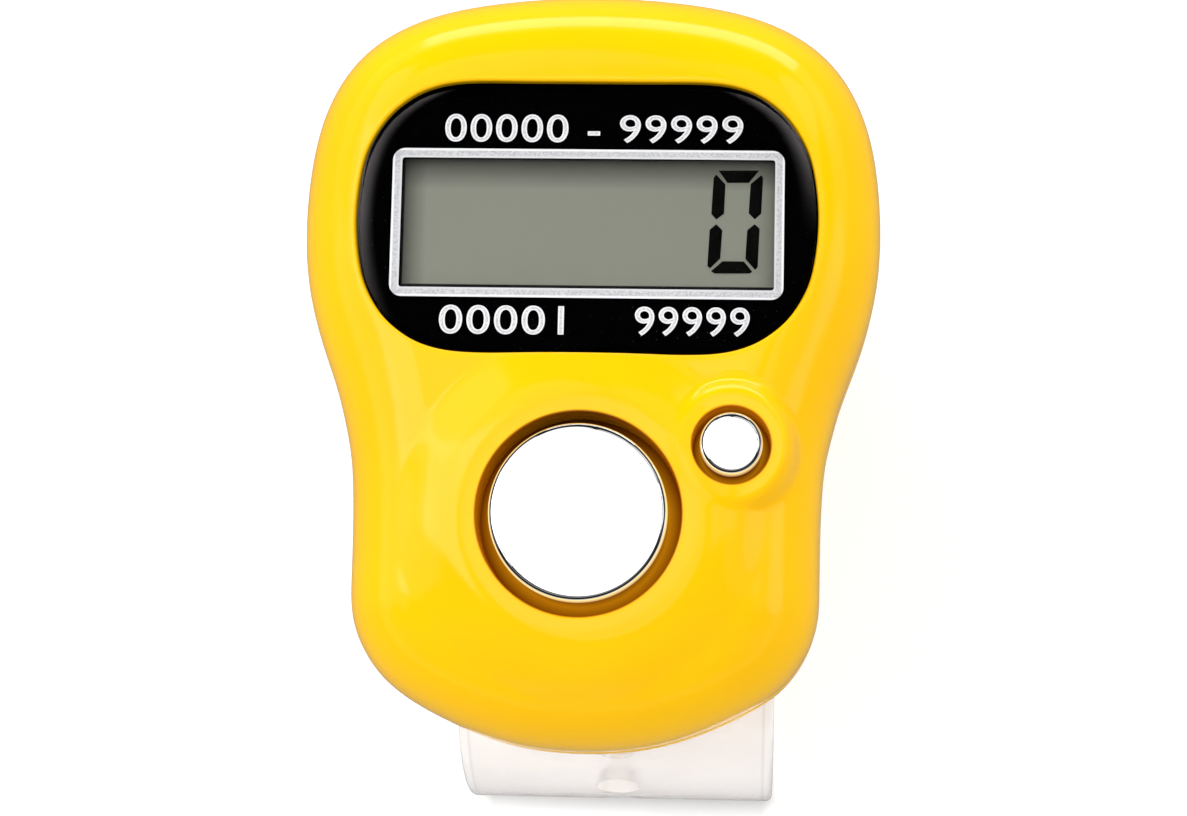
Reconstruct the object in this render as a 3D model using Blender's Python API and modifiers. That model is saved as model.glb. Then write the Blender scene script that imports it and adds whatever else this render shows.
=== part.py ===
"""Finger tally counter with a five digit display, a count button, a reset button and a strap loop.

The case lies face up on its strap loop. X runs to the right of the display, Y towards its upper edge and
Z out of the face. Inside the case every height is counted from the flat back of the rear cover, and the
whole counter hangs on one empty that puts the strap's flat underside on the ground, in the middle of the
counter's length.
"""

import math

import bmesh
import bpy
import numpy as np
from mathutils import Matrix

# Case
BODY_WIDTH = 0.0290
BODY_HEIGHT = 0.0380
REAR_DEPTH = 0.0050
FRONT_DEPTH = 0.0070
EDGE_REACH = 0.0050
BACK_ROUND = 0.0024
WALL = 0.0015
FACE_WALL = 0.0018
FLOOR_WALL = 0.0013
PARTING_GAP = 0.0001
MOUND_SINK = 0.0001
TONGUE_HEIGHT = 0.0010
TONGUE_THICK = 0.0007
CATCH_WIDTH = 0.0050
CATCH_REACH = 0.0005
CATCH_HEIGHT = 0.0006

# Clearances
SEAT_GAP = 0.0001
LAYER_GAP = 0.00004
OVERRUN = 0.0010
MERGE_GAP = 0.000002

# Display
TRIM_WIDTH = 0.0192
TRIM_HEIGHT = 0.0074
TRIM_BAND = 0.00046
TRIM_CORNER = 0.0006
TRIM_THICK = 0.00006
WINDOW_SIDE = 0.00155
WINDOW_ABOVE = 0.0031
WINDOW_BELOW = 0.0028
LENS_THICK = 0.0008
LENS_SINK = 0.0001
LABEL_THICK = 0.00012
LCD_HIDDEN_SIDE = 0.00031
LCD_HIDDEN_ABOVE = 0.00106
LCD_HIDDEN_BELOW = 0.00126
LCD_GLASS = 0.0008
LCD_LEDGE = 0.0012
REFLECTOR_THICK = 0.00015
ZEBRA_WIDTH = 0.0009
ZEBRA_INSET = 0.00045
FOAM_WIDTH = 0.0014

# Buttons
COUNT_HOLE_RADIUS = 0.0049
COUNT_RADIUS = 0.00425
COUNT_TOP = 0.0136
COUNT_MOUND_TOP = 0.0129
COUNT_MOUND_RADIUS = 0.0086
BUTTON_SPACING = 0.0012
RESET_HOLE_RADIUS = 0.00187
RESET_RADIUS = 0.0015
RESET_TOP = 0.0132
RESET_MOUND_TOP = 0.0126
RESET_MOUND_RADIUS = 0.0034
BUTTON_FILLET = 0.00028
BUTTON_WALL = 0.0009
FLANGE_OVERHANG = 0.0005
FLANGE_THICK = 0.0008
LIP_ROUND = 0.0003

# Rubber keys
RUBBER_BASE = 0.0005
COUNT_RUBBER_RADIUS = 0.0040
RESET_RUBBER_RADIUS = 0.0018

# Circuit board
BOARD_Z = 0.0060
BOARD_THICK = 0.0010
BOARD_MARGIN = 0.0003
POST_RADIUS = 0.0012
BLOB_RADIUS = 0.0021
BLOB_HEIGHT = 0.0008
BLOB_X = -0.0045
PAD_THICK = 0.00006
CHIP_LENGTH = 0.0016
CHIP_WIDTH = 0.0008
CHIP_HEIGHT = 0.0006
CHIP_X = 0.0045
CHIP_STEP = 0.0022

# Battery
CELL_RADIUS = 0.0058
CELL_HEIGHT = 0.00305
CELL_CAP_RADIUS = 0.0047
CELL_CAP_HEIGHT = 0.0004
CELL_Z = 0.0020
LEAF_THICK = 0.0002
LEAF_WIDTH = 0.0026
HOLDER_WALL = 0.0007
HOLDER_HEIGHT = 0.0020

# Screws
CASE_SCREW_RADIUS = 0.00075
CASE_SCREW_HEAD = 0.00135
CASE_SCREW_HEAD_HEIGHT = 0.0008
CASE_SCREW_LENGTH = 0.0068
CASE_SCREW_SINK = 0.0003
CASE_BOSS_RADIUS = 0.0016
CASE_SCREW_SHARE = 0.5931
CASE_BOSS_GAP = 0.0006
BOARD_SCREW_RADIUS = 0.0005
BOARD_SCREW_HEAD = 0.0010
BOARD_SCREW_HEAD_HEIGHT = 0.0005
BOARD_SCREW_LENGTH = 0.0030
SCREW_GAP = 0.0001

# Strap
STRAP_X = 0.0013
STRAP_WIDTH = 0.0164
STRAP_THICK = 0.0012
STRAP_LOW_Y = -0.02085
STRAP_HIGH_Y = 0.0086
STRAP_DEPTH = 0.0186
STRAP_UPPER_CORNER_Y = 0.0065
STRAP_UPPER_CORNER_Z = 0.0095
STRAP_LOWER_CORNER_Y = 0.0055
STRAP_FIXED_STUD_Y = 0.0002
STRAP_ADJUST_STUD_Y = -0.0100
STRAP_TAIL = 0.0028
STRAP_HOLE_RADIUS = 0.00115
STRAP_HOLE_STEP = 0.00425
STRAP_END_ROUND = 0.0025
STUD_RADIUS = 0.0010
STUD_HEAD_RADIUS = 0.0016
STUD_HEAD_HEIGHT = 0.0007

# Shapes without a size of their own
EDGE_POWER = 2.3
SHARP_ANGLE = math.radians(35)
SPLINE_STEPS = 40
STRAP_HOLES = 6
RING_POINTS = 72
ROUND_POINTS = 40
MEDIUM_POINTS = 24
SMALL_POINTS = 16
EDGE_STEPS = 6
LIP_STEPS = 3
FILLET_STEPS = 4
CORNER_STEPS = 4
STRAP_STEPS = 8
STRAP_COLUMN_SHARE = 0.3
STUD_ROUND_SHARE = 0.86
KEY_FOOT_SHARE = 0.8
KEY_TOP_SHARE = 0.45
KEY_INNER_SHARE = 0.65
LEAF_REACH_SHARE = 0.8
SCREW_EDGE_SHARE = 0.8

# Right half of the case's outline, from its top to its bottom, in shares of half its width and height
OUTLINE_SHARES = (
    (0.0, 1.0), (0.295, 0.987), (0.547, 0.950), (0.723, 0.890), (0.850, 0.805), (0.941, 0.680),
    (0.986, 0.534), (1.0, 0.368), (0.983, 0.208), (0.931, 0.058), (0.874, -0.064), (0.838, -0.164),
    (0.814, -0.261), (0.802, -0.428), (0.801, -0.567), (0.787, -0.681), (0.697, -0.807),
    (0.529, -0.900), (0.265, -0.978), (0.0, -1.0),
)

# A quarter of the window's outline, from its top to its right end, in shares of half its width and height
WINDOW_SHARES = (
    (0.0, 1.0), (0.30, 1.0), (0.50, 0.999), (0.625, 0.976), (0.733, 0.916), (0.815, 0.826),
    (0.882, 0.713), (0.948, 0.5255), (0.981, 0.338), (1.0, 0.0),
)

# Places across and up from the middle of the case, in shares of half its width and height
DISPLAY_SHARES = (0.0, 0.3368)
COUNT_SHARES = (0.0, -0.4237)
CELL_SHARES = (0.0, -0.3684)
SIDE_POST_SHARES = (0.5931, -0.0526)
LOW_POST_SHARES = (0.0, -0.8105)

# The direction from the count button to the reset button, up from the line across the case
RESET_ANGLE = math.radians(25.4)

# The limit that the outline's tightest bend sets to the reach of the rolled edge
BEND_SHARE = 0.995

# Heights worked out from the sizes above
FACE_Z = REAR_DEPTH + FRONT_DEPTH
CEILING_Z = FACE_Z - FACE_WALL
LENS_TOP = FACE_Z - LENS_SINK
TRIM_TOP = LENS_TOP - LENS_THICK - LAYER_GAP
LABEL_TOP = TRIM_TOP - TRIM_THICK - LAYER_GAP
POCKET_Z = LABEL_TOP - LABEL_THICK - LAYER_GAP
LCD_TOP = POCKET_Z - LAYER_GAP
REAR_GLASS_TOP = LCD_TOP - LCD_GLASS - LAYER_GAP
REFLECTOR_TOP = REAR_GLASS_TOP - LCD_GLASS - LAYER_GAP
BOARD_TOP = BOARD_Z + BOARD_THICK
FLANGE_TOP = CEILING_Z - SEAT_GAP
STRAP_TOP = -SEAT_GAP
CASE_SCREW_TIP = CASE_SCREW_SINK + CASE_SCREW_LENGTH
BOARD_SCREW_TIP = BOARD_Z - SCREW_GAP - BOARD_SCREW_HEAD_HEIGHT + BOARD_SCREW_LENGTH

parts = bpy.data.collections.new("tally_counter")
cutters = bpy.data.collections.new("cutters")


def clear_scene():
    for thing in list(bpy.data.objects):
        bpy.data.objects.remove(thing, do_unlink=True)
    for collection in (parts, cutters):
        bpy.context.scene.collection.children.link(collection)


def material(name, color, roughness, metallic=0.0, alpha=1.0):
    """A plain Principled finish, made once and then shared."""
    made = bpy.data.materials.get(name)
    if made is None:
        made = bpy.data.materials.new(name)
        made.use_nodes = True
        shader = made.node_tree.nodes["Principled BSDF"]
        shader.inputs["Base Color"].default_value = (*color, 1.0)
        shader.inputs["Roughness"].default_value = roughness
        shader.inputs["Metallic"].default_value = metallic
        shader.inputs["Alpha"].default_value = alpha
    return made


# Outlines

def mirrored(right_side):
    """A closed outline from its right half, which starts and ends on the middle line."""
    return right_side + [(-x, y) for x, y in right_side[-2:0:-1]]


def smooth_closed(points, count):
    """Evenly spaced points along the periodic cubic spline through the given points."""
    knots = np.array(points, float)
    number = len(knots)
    spans = np.sqrt(np.linalg.norm(np.roll(knots, -1, 0) - knots, axis=1))
    system = np.zeros((number, number))
    right = np.zeros((number, 2))
    for i in range(number):
        before, after, following = spans[i - 1], spans[i], (i + 1) % number
        system[i, i - 1] += before / 6
        system[i, i] += (before + after) / 3
        system[i, following] += after / 6
        right[i] = (knots[following] - knots[i]) / after - (knots[i] - knots[i - 1]) / before
    bend = np.linalg.solve(system, right)
    dense = []
    for i in range(number):
        span, following = spans[i], (i + 1) % number
        ahead = np.linspace(0, span, SPLINE_STEPS, endpoint=False)[:, None]
        back = span - ahead
        dense.append(
            (bend[i] * back**3 + bend[following] * ahead**3) / (6 * span)
            + (knots[i] / span - bend[i] * span / 6) * back
            + (knots[following] / span - bend[following] * span / 6) * ahead
        )
    dense = np.concatenate(dense + [dense[0][:1]])
    length = np.concatenate([[0], np.cumsum(np.linalg.norm(np.diff(dense, axis=0), axis=1))])
    wanted = np.linspace(0, length[-1], count, endpoint=False)
    return np.stack([np.interp(wanted, length, dense[:, axis]) for axis in (0, 1)], axis=1)


def inset(outline, distance):
    """The outline moved inwards along its normals. Its points run clockwise."""
    along = np.roll(outline, -1, 0) - np.roll(outline, 1, 0)
    along = along / np.linalg.norm(along, axis=1)[:, None]
    return outline - distance * np.stack([-along[:, 1], along[:, 0]], axis=1)


def case_outline():
    half_width, half_height = BODY_WIDTH / 2, BODY_HEIGHT / 2
    right_side = [(x * half_width, y * half_height) for x, y in OUTLINE_SHARES]
    return smooth_closed(mirrored(right_side), RING_POINTS)


def edge_reach():
    """How far in the rolled edge reaches, which the outline's tightest outward bend limits."""
    outline = case_outline()
    back, ahead = outline - np.roll(outline, 1, 0), np.roll(outline, -1, 0) - outline
    turn = back[:, 1] * ahead[:, 0] - back[:, 0] * ahead[:, 1]
    step = np.linalg.norm(back, axis=1)
    bend = np.max(turn / step**3)
    return min(EDGE_REACH, BEND_SHARE / bend)


def window_outline(clearance):
    half_width, half_height = WINDOW_WIDTH / 2, WINDOW_HEIGHT / 2
    quarter = [(x * half_width, y * half_height) for x, y in WINDOW_SHARES]
    right_side = quarter + [(x, -y) for x, y in quarter[-2::-1]]
    outline = smooth_closed(mirrored(right_side), RING_POINTS)
    return inset(outline, clearance) + (0, WINDOW_Y)


def rounded_rectangle(width, height, corner, centre_y):
    """Clockwise points of a rectangle with round corners, centred on the middle line."""
    points = []
    for turn, side_x, side_y in ((0, 1, 1), (1, 1, -1), (2, -1, -1), (3, -1, 1)):
        middle = np.array((side_x * (width / 2 - corner), side_y * (height / 2 - corner)))
        for step in range(CORNER_STEPS + 1):
            angle = math.pi / 2 * (1 - turn - step / CORNER_STEPS)
            points.append(middle + corner * np.array((math.cos(angle), math.sin(angle))))
    return np.array(points) + (0, centre_y)


def at_height(outline, z):
    return [(x, y, z) for x, y in outline]


def circle(place, radius, points):
    """Clockwise points of a circle, seen from the face."""
    angles = 2 * math.pi * np.arange(points) / points
    return np.stack([np.sin(angles), np.cos(angles)], axis=1) * radius + place


def edge_rise(share):
    """How far the rolled edge has risen, as a share, at a share of its reach in from the outline."""
    return (1 - (1 - share) ** EDGE_POWER) ** (1 / EDGE_POWER)


def edge_rings(outline, base_z, reach, height, margin=0.0):
    """Rings that climb from the outline and roll over into a flat face: a superellipse in section."""
    rings = []
    for step in range(EDGE_STEPS + 1):
        across = 1 - math.sin(math.pi / 2 * (1 - step / EDGE_STEPS)) ** (2 / EDGE_POWER)
        rings.append(at_height(inset(outline, margin + reach * across), base_z + height * edge_rise(across)))
    return rings


def skin_height(outline, point):
    """The height of the front case's outer skin over a point inside the outline."""
    start = outline
    along = np.roll(outline, -1, 0) - start
    share = np.sum((point - start) * along, axis=1) / np.sum(along * along, axis=1)
    nearest = start + along * np.clip(share, 0, 1)[:, None]
    distance = np.min(np.linalg.norm(nearest - point, axis=1))
    base_z = REAR_DEPTH + PARTING_GAP
    return base_z + (FACE_Z - base_z) * edge_rise(min(distance / edge_reach(), 1))


# Solids

def solid(mesh, place=(0, 0)):
    """An object for a mesh, not yet in any collection, with its origin over a place on the face."""
    thing = bpy.data.objects.new(mesh.name, mesh)
    thing.parent = root
    thing.location = (*place, 0)
    return thing


def part(name, thing, finish):
    """Makes a solid a named piece of the counter."""
    thing.name = name
    thing.data.name = name
    thing.data.materials.append(finish)
    thing.data.shade_smooth()
    thing.data.set_sharp_from_angle(angle=SHARP_ANGLE)
    parts.objects.link(thing)
    return thing


def change(thing, tool, operation):
    """Joins a solid to a piece, or cuts it out of the piece."""
    tool.name = thing.name + "_" + operation.lower()
    tool.hide_render = True
    tool.display_type = "WIRE"
    cutters.objects.link(tool)
    step = thing.modifiers.new(tool.name, "BOOLEAN")
    step.operation = operation
    step.solver = "EXACT"
    step.object = tool


def cut(thing, tool):
    change(thing, tool, "DIFFERENCE")


def join(thing, tool):
    change(thing, tool, "UNION")


def evaluated(thing):
    """The closed mesh that a curve or a modifier makes. The object it came from is removed."""
    bpy.context.scene.collection.objects.link(thing)
    graph = bpy.context.evaluated_depsgraph_get()
    mesh = bpy.data.meshes.new_from_object(thing.evaluated_get(graph))
    bpy.data.objects.remove(thing, do_unlink=True)
    shape = bmesh.new()
    shape.from_mesh(mesh)
    bmesh.ops.remove_doubles(shape, verts=shape.verts, dist=MERGE_GAP)
    bmesh.ops.recalc_face_normals(shape, faces=shape.faces)
    shape.to_mesh(mesh)
    shape.free()
    return mesh


def slab(outline, low, high):
    """A flat plate: the outline as a filled curve, given its thickness."""
    curve = bpy.data.curves.new("slab", "CURVE")
    curve.dimensions = "2D"
    curve.fill_mode = "BOTH"
    curve.extrude = (high - low) / 2
    line = curve.splines.new("POLY")
    line.points.add(len(outline) - 1)
    for point, (x, y) in zip(line.points, outline):
        point.co = (x, y, 0, 1)
    line.use_cyclic_u = True
    mesh = evaluated(bpy.data.objects.new("slab", curve))
    mesh.transform(Matrix.Translation((0, 0, (low + high) / 2)))
    return solid(mesh)


def turned(profile, place=(0, 0), points=ROUND_POINTS):
    """A solid of revolution. Its profile runs down the outer side, from the axis to the axis."""
    mesh = bpy.data.meshes.new("turned")
    edges = [(i, i + 1) for i in range(len(profile) - 1)]
    mesh.from_pydata([(radius, 0, z) for radius, z in profile], edges, [])
    thing = bpy.data.objects.new("turned", mesh)
    screw_modifier = thing.modifiers.new("turn", "SCREW")
    screw_modifier.steps = points
    screw_modifier.render_steps = points
    screw_modifier.use_merge_vertices = True
    screw_modifier.merge_threshold = MERGE_GAP
    return solid(evaluated(thing), place)


def cylinder(radius, low, high, place=(0, 0), points=MEDIUM_POINTS):
    shape = bmesh.new()
    middle = Matrix.Translation((0, 0, (low + high) / 2))
    bmesh.ops.create_cone(
        shape, cap_ends=True, segments=points, radius1=radius, radius2=radius, depth=high - low, matrix=middle
    )
    return solid(finished(shape, "cylinder"), place)


def box(low, high):
    shape = bmesh.new()
    sizes = [high[axis] - low[axis] for axis in range(3)]
    middle = [(high[axis] + low[axis]) / 2 for axis in range(3)]
    bmesh.ops.create_cube(shape, size=1, matrix=Matrix.LocRotScale(middle, None, sizes))
    return solid(finished(shape, "box"))


def finished(shape, name):
    mesh = bpy.data.meshes.new(name)
    shape.to_mesh(mesh)
    shape.free()
    return mesh


def loft(rings):
    """A closed solid through rings of equally many points, with both ends filled."""
    shape = bmesh.new()
    loops = [[shape.verts.new(point) for point in ring] for ring in rings]
    for lower, upper in zip(loops, loops[1:]):
        for i in range(len(lower)):
            after = (i + 1) % len(lower)
            shape.faces.new((lower[i], lower[after], upper[after], upper[i]))
    shape.faces.new(loops[0])
    shape.faces.new(loops[-1])
    bmesh.ops.recalc_face_normals(shape, faces=shape.faces)
    return solid(finished(shape, "loft"))


def make_root():
    """The empty that carries the counter: it stands on its strap, with its length centred on the origin."""
    empty = bpy.data.objects.new("tally_counter_frame", None)
    empty.location = (0, -(STRAP_LOW_Y + BODY_HEIGHT / 2) / 2, STRAP_DEPTH)
    parts.objects.link(empty)
    return empty


clear_scene()
root = make_root()
bpy.context.view_layer.update()

YELLOW = material("yellow gloss plastic", (0.99, 0.68, 0.002), 0.12)
CLEAR = material("clear plastic", (0.95, 0.95, 0.95), 0.05, alpha=0.3)
BLACK = material("black print", (0.005, 0.005, 0.005), 0.3)
SILVER = material("silver print", (0.75, 0.75, 0.77), 0.3, 0.9)
GLASS = material("display glass", (0.42, 0.43, 0.36), 0.15)
REFLECTOR = material("display reflector", (0.45, 0.46, 0.40), 0.45)
RUBBER = material("grey rubber", (0.35, 0.35, 0.35), 0.6)
DARK_RUBBER = material("black rubber", (0.03, 0.03, 0.03), 0.6)
CHROME = material("chrome", (0.85, 0.86, 0.87), 0.04, 1.0)
STEEL = material("steel", (0.62, 0.62, 0.62), 0.25, 1.0)
BRASS = material("gold plate", (0.80, 0.60, 0.25), 0.25, 1.0)
BOARD = material("green board", (0.03, 0.22, 0.08), 0.4)
EPOXY = material("black epoxy", (0.01, 0.01, 0.01), 0.25)
CERAMIC = material("brown ceramic", (0.35, 0.22, 0.12), 0.5)
STRAP = material("clear soft strap", (0.93, 0.88, 0.87), 0.2, alpha=0.5)


# Places and sizes that follow from one another

def placed(shares, side=1):
    return (side * shares[0] * BODY_WIDTH / 2, shares[1] * BODY_HEIGHT / 2)


TRIM_Y = placed(DISPLAY_SHARES)[1]
OPEN_WIDTH = TRIM_WIDTH - 2 * TRIM_BAND
OPEN_HEIGHT = TRIM_HEIGHT - 2 * TRIM_BAND
LCD_WIDTH = OPEN_WIDTH + 2 * LCD_HIDDEN_SIDE
LCD_HEIGHT = OPEN_HEIGHT + LCD_HIDDEN_ABOVE + LCD_HIDDEN_BELOW
LCD_Y = TRIM_Y + (LCD_HIDDEN_ABOVE - LCD_HIDDEN_BELOW) / 2
WINDOW_WIDTH = TRIM_WIDTH + 2 * WINDOW_SIDE
WINDOW_HEIGHT = TRIM_HEIGHT + WINDOW_ABOVE + WINDOW_BELOW
WINDOW_Y = TRIM_Y + (WINDOW_ABOVE - WINDOW_BELOW) / 2

COUNT = placed(COUNT_SHARES)
BUTTON_DISTANCE = COUNT_HOLE_RADIUS + BUTTON_SPACING + RESET_HOLE_RADIUS
RESET = (
    COUNT[0] + BUTTON_DISTANCE * math.cos(RESET_ANGLE),
    COUNT[1] + BUTTON_DISTANCE * math.sin(RESET_ANGLE),
)
CELL = placed(CELL_SHARES)
CASE_SCREW_Y = LCD_Y + LCD_HEIGHT / 2 + CASE_BOSS_GAP + CASE_BOSS_RADIUS
CASE_SCREW_X = CASE_SCREW_SHARE * BODY_WIDTH / 2
CASE_SCREWS = {"left": (-CASE_SCREW_X, CASE_SCREW_Y), "right": (CASE_SCREW_X, CASE_SCREW_Y)}
BOARD_SCREWS = {
    "left": placed(SIDE_POST_SHARES, -1),
    "right": placed(SIDE_POST_SHARES),
    "lower": placed(LOW_POST_SHARES),
}
BLOB = (BLOB_X, LCD_Y)


def mound(place, hole_radius, top, foot_radius, points):
    """The raised ring round a button: level at its crest, with a foot that runs out into the case's skin."""
    outline = case_outline()
    crest = hole_radius + 2 * LIP_ROUND
    rings = []
    for step in range(EDGE_STEPS, -1, -1):
        share = step / EDGE_STEPS
        fall = (1 - math.cos(math.pi * share)) / 2
        ring = []
        for point in circle(place, crest + (foot_radius - crest) * share, points):
            foot_z = skin_height(outline, point) - MOUND_SINK
            ring.append((*point, top + (foot_z - top) * fall))
        rings.append(ring)
    lowest = min(z for x, y, z in rings[0]) - OVERRUN
    return loft([at_height(circle(place, foot_radius, points), lowest)] + rings)


def button_hole(place, radius, top, points):
    """A round hole whose lip flares out at the crest of its mound."""
    profile = [(0, top + OVERRUN), (radius + LIP_ROUND, top + OVERRUN)]
    for step in range(LIP_STEPS + 1):
        angle = math.pi / 2 * step / LIP_STEPS
        profile.append((radius + LIP_ROUND * (1 - math.sin(angle)), top - LIP_ROUND * (1 - math.cos(angle))))
    profile += [(radius, CEILING_Z - OVERRUN), (0, CEILING_Z - OVERRUN)]
    return turned(profile, place, points)


def front_case():
    """The yellow front shell: rolled edge, button mounds, lens pocket, display well and screw posts."""
    outline = case_outline()
    reach = edge_reach()
    base = REAR_DEPTH + PARTING_GAP
    case = part("front_case", loft(edge_rings(outline, base, reach, FACE_Z - base)), YELLOW)
    join(case, mound(COUNT, COUNT_HOLE_RADIUS, COUNT_MOUND_TOP, COUNT_MOUND_RADIUS, ROUND_POINTS))
    join(case, mound(RESET, RESET_HOLE_RADIUS, RESET_MOUND_TOP, RESET_MOUND_RADIUS, MEDIUM_POINTS))
    hollow = edge_rings(outline, REAR_DEPTH, reach - WALL, CEILING_Z - REAR_DEPTH, margin=WALL)
    cut(case, loft([at_height(inset(outline, WALL), REAR_DEPTH - OVERRUN)] + hollow[1:]))
    cut(case, slab(window_outline(-SEAT_GAP), POCKET_Z, FACE_Z + OVERRUN))
    well = rounded_rectangle(LCD_WIDTH + 2 * SEAT_GAP, LCD_HEIGHT + 2 * SEAT_GAP, SEAT_GAP, LCD_Y)
    cut(case, slab(well, CEILING_Z - OVERRUN, FACE_Z))
    cut(case, button_hole(COUNT, COUNT_HOLE_RADIUS, COUNT_MOUND_TOP, ROUND_POINTS))
    cut(case, button_hole(RESET, RESET_HOLE_RADIUS, RESET_MOUND_TOP, MEDIUM_POINTS))
    flange_room = RESET_HOLE_RADIUS + FLANGE_OVERHANG + 2 * SEAT_GAP
    cut(case, cylinder(flange_room, REAR_DEPTH + TONGUE_HEIGHT, CEILING_Z, RESET))
    embedded = (CEILING_Z + POCKET_Z) / 2
    for place in CASE_SCREWS.values():
        join(case, cylinder(CASE_BOSS_RADIUS, base, embedded, place))
        pilot = CASE_SCREW_RADIUS + SCREW_GAP
        cut(case, cylinder(pilot, REAR_DEPTH - OVERRUN, CASE_SCREW_TIP + SCREW_GAP, place, SMALL_POINTS))
    for place in BOARD_SCREWS.values():
        join(case, cylinder(POST_RADIUS, BOARD_TOP + SEAT_GAP, embedded, place))
        pilot = BOARD_SCREW_RADIUS + SCREW_GAP
        cut(case, cylinder(pilot, BOARD_TOP - OVERRUN, BOARD_SCREW_TIP + SCREW_GAP, place, SMALL_POINTS))
    cut(case, catch(SEAT_GAP))


def catch(clearance):
    """The rear cover's catch at the lower end, or with a clearance the notch that takes it."""
    reach = CATCH_REACH + clearance
    middle = REAR_DEPTH + TONGUE_HEIGHT / 2
    lower_wall = -BODY_HEIGHT / 2 + WALL
    return box(
        (-CATCH_WIDTH / 2 - clearance, lower_wall - reach, middle - CATCH_HEIGHT / 2 - clearance),
        (CATCH_WIDTH / 2 + clearance, lower_wall + TONGUE_THICK, middle + CATCH_HEIGHT / 2 + clearance),
    )


def rear_cover():
    """The yellow back shell: rounded edge, tongue, screw bosses, battery holder and strap studs."""
    outline = case_outline()
    rounded = []
    for step in range(EDGE_STEPS + 1):
        angle = math.pi / 2 * step / EDGE_STEPS
        across, up = BACK_ROUND * (1 - math.sin(angle)), BACK_ROUND * (1 - math.cos(angle))
        rounded.append(at_height(inset(outline, across), up))
    cover = part("rear_cover", loft(rounded + [at_height(outline, REAR_DEPTH)]), YELLOW)
    join(cover, slab(inset(outline, WALL + SEAT_GAP), FLOOR_WALL, REAR_DEPTH + TONGUE_HEIGHT))
    join(cover, catch(0))
    inner = inset(outline, WALL + SEAT_GAP + TONGUE_THICK)
    cut(cover, loft([
        at_height(inset(outline, WALL + SEAT_GAP + BACK_ROUND), FLOOR_WALL),
        at_height(inner, FLOOR_WALL + BACK_ROUND / 2),
        at_height(inner, REAR_DEPTH + TONGUE_HEIGHT + OVERRUN),
    ]))
    for place in CASE_SCREWS.values():
        join(cover, cylinder(CASE_BOSS_RADIUS, FLOOR_WALL / 2, REAR_DEPTH, place))
        hole = CASE_SCREW_RADIUS + SCREW_GAP
        cut(cover, cylinder(hole, -OVERRUN, REAR_DEPTH + OVERRUN, place, SMALL_POINTS))
        seat = CASE_SCREW_SINK + CASE_SCREW_HEAD_HEIGHT + SCREW_GAP
        cut(cover, cylinder(CASE_SCREW_HEAD + SCREW_GAP, -OVERRUN, seat, place, SMALL_POINTS))
    holder = CELL_RADIUS + 2 * SEAT_GAP
    holder_top = FLOOR_WALL + HOLDER_HEIGHT
    join(cover, cylinder(holder + HOLDER_WALL, FLOOR_WALL / 2, holder_top, CELL, ROUND_POINTS))
    cut(cover, cylinder(holder, FLOOR_WALL, holder_top + OVERRUN, CELL, ROUND_POINTS))
    gate = LEAF_WIDTH / 2 + 2 * SEAT_GAP
    cut(cover, box(
        (-gate, CELL[1] - holder - 2 * HOLDER_WALL, FLOOR_WALL),
        (gate, CELL[1] - CELL_RADIUS / 2, holder_top + OVERRUN),
    ))
    for stud_y in (STRAP_FIXED_STUD_Y, STRAP_ADJUST_STUD_Y):
        join(cover, strap_stud(stud_y))


def strap_stud(stud_y):
    """A mushroom stud that a strap hole is pushed over."""
    neck = STRAP_TOP - STRAP_THICK - SEAT_GAP
    return turned([
        (0, FLOOR_WALL / 2),
        (STUD_RADIUS, FLOOR_WALL / 2),
        (STUD_RADIUS, neck),
        (STUD_HEAD_RADIUS, neck),
        (STUD_HEAD_RADIUS, neck - STUD_HEAD_HEIGHT / 4),
        (STUD_HEAD_RADIUS * STUD_ROUND_SHARE, neck - STUD_HEAD_HEIGHT * STUD_ROUND_SHARE),
        (STUD_HEAD_RADIUS / 2, neck - STUD_HEAD_HEIGHT),
        (0, neck - STUD_HEAD_HEIGHT),
    ], (STRAP_X, stud_y), SMALL_POINTS)


# Display

def trim_opening(low, high):
    """The clear space inside the silver line, through which the display is read."""
    opening = rounded_rectangle(OPEN_WIDTH, OPEN_HEIGHT, TRIM_CORNER - TRIM_BAND, TRIM_Y)
    return slab(opening, low - OVERRUN, high + OVERRUN)


def window():
    """The clear lens, the silver line printed behind it, and the black label behind that."""
    part("display_lens", slab(window_outline(0), LENS_TOP - LENS_THICK, LENS_TOP), CLEAR)
    line = rounded_rectangle(TRIM_WIDTH, TRIM_HEIGHT, TRIM_CORNER, TRIM_Y)
    trim = part("display_trim", slab(line, TRIM_TOP - TRIM_THICK, TRIM_TOP), SILVER)
    cut(trim, trim_opening(TRIM_TOP - TRIM_THICK, TRIM_TOP))
    label = part("window_label", slab(window_outline(0), LABEL_TOP - LABEL_THICK, LABEL_TOP), BLACK)
    cut(label, trim_opening(LABEL_TOP - LABEL_THICK, LABEL_TOP))


def display_glasses():
    """Front glass with a contact ledge, rear glass, and the reflecting film behind them."""
    half = LCD_WIDTH / 2
    top_y, low_y = LCD_Y + LCD_HEIGHT / 2, LCD_Y - LCD_HEIGHT / 2
    for name, edge_y, top, thick, finish in (
        ("lcd_front_glass", low_y, LCD_TOP, LCD_GLASS, GLASS),
        ("lcd_rear_glass", low_y + LCD_LEDGE, REAR_GLASS_TOP, LCD_GLASS, GLASS),
        ("lcd_reflector", low_y + LCD_LEDGE, REFLECTOR_TOP, REFLECTOR_THICK, REFLECTOR),
    ):
        part(name, box((-half, edge_y, top - thick), (half, top_y, top)), finish)


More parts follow.
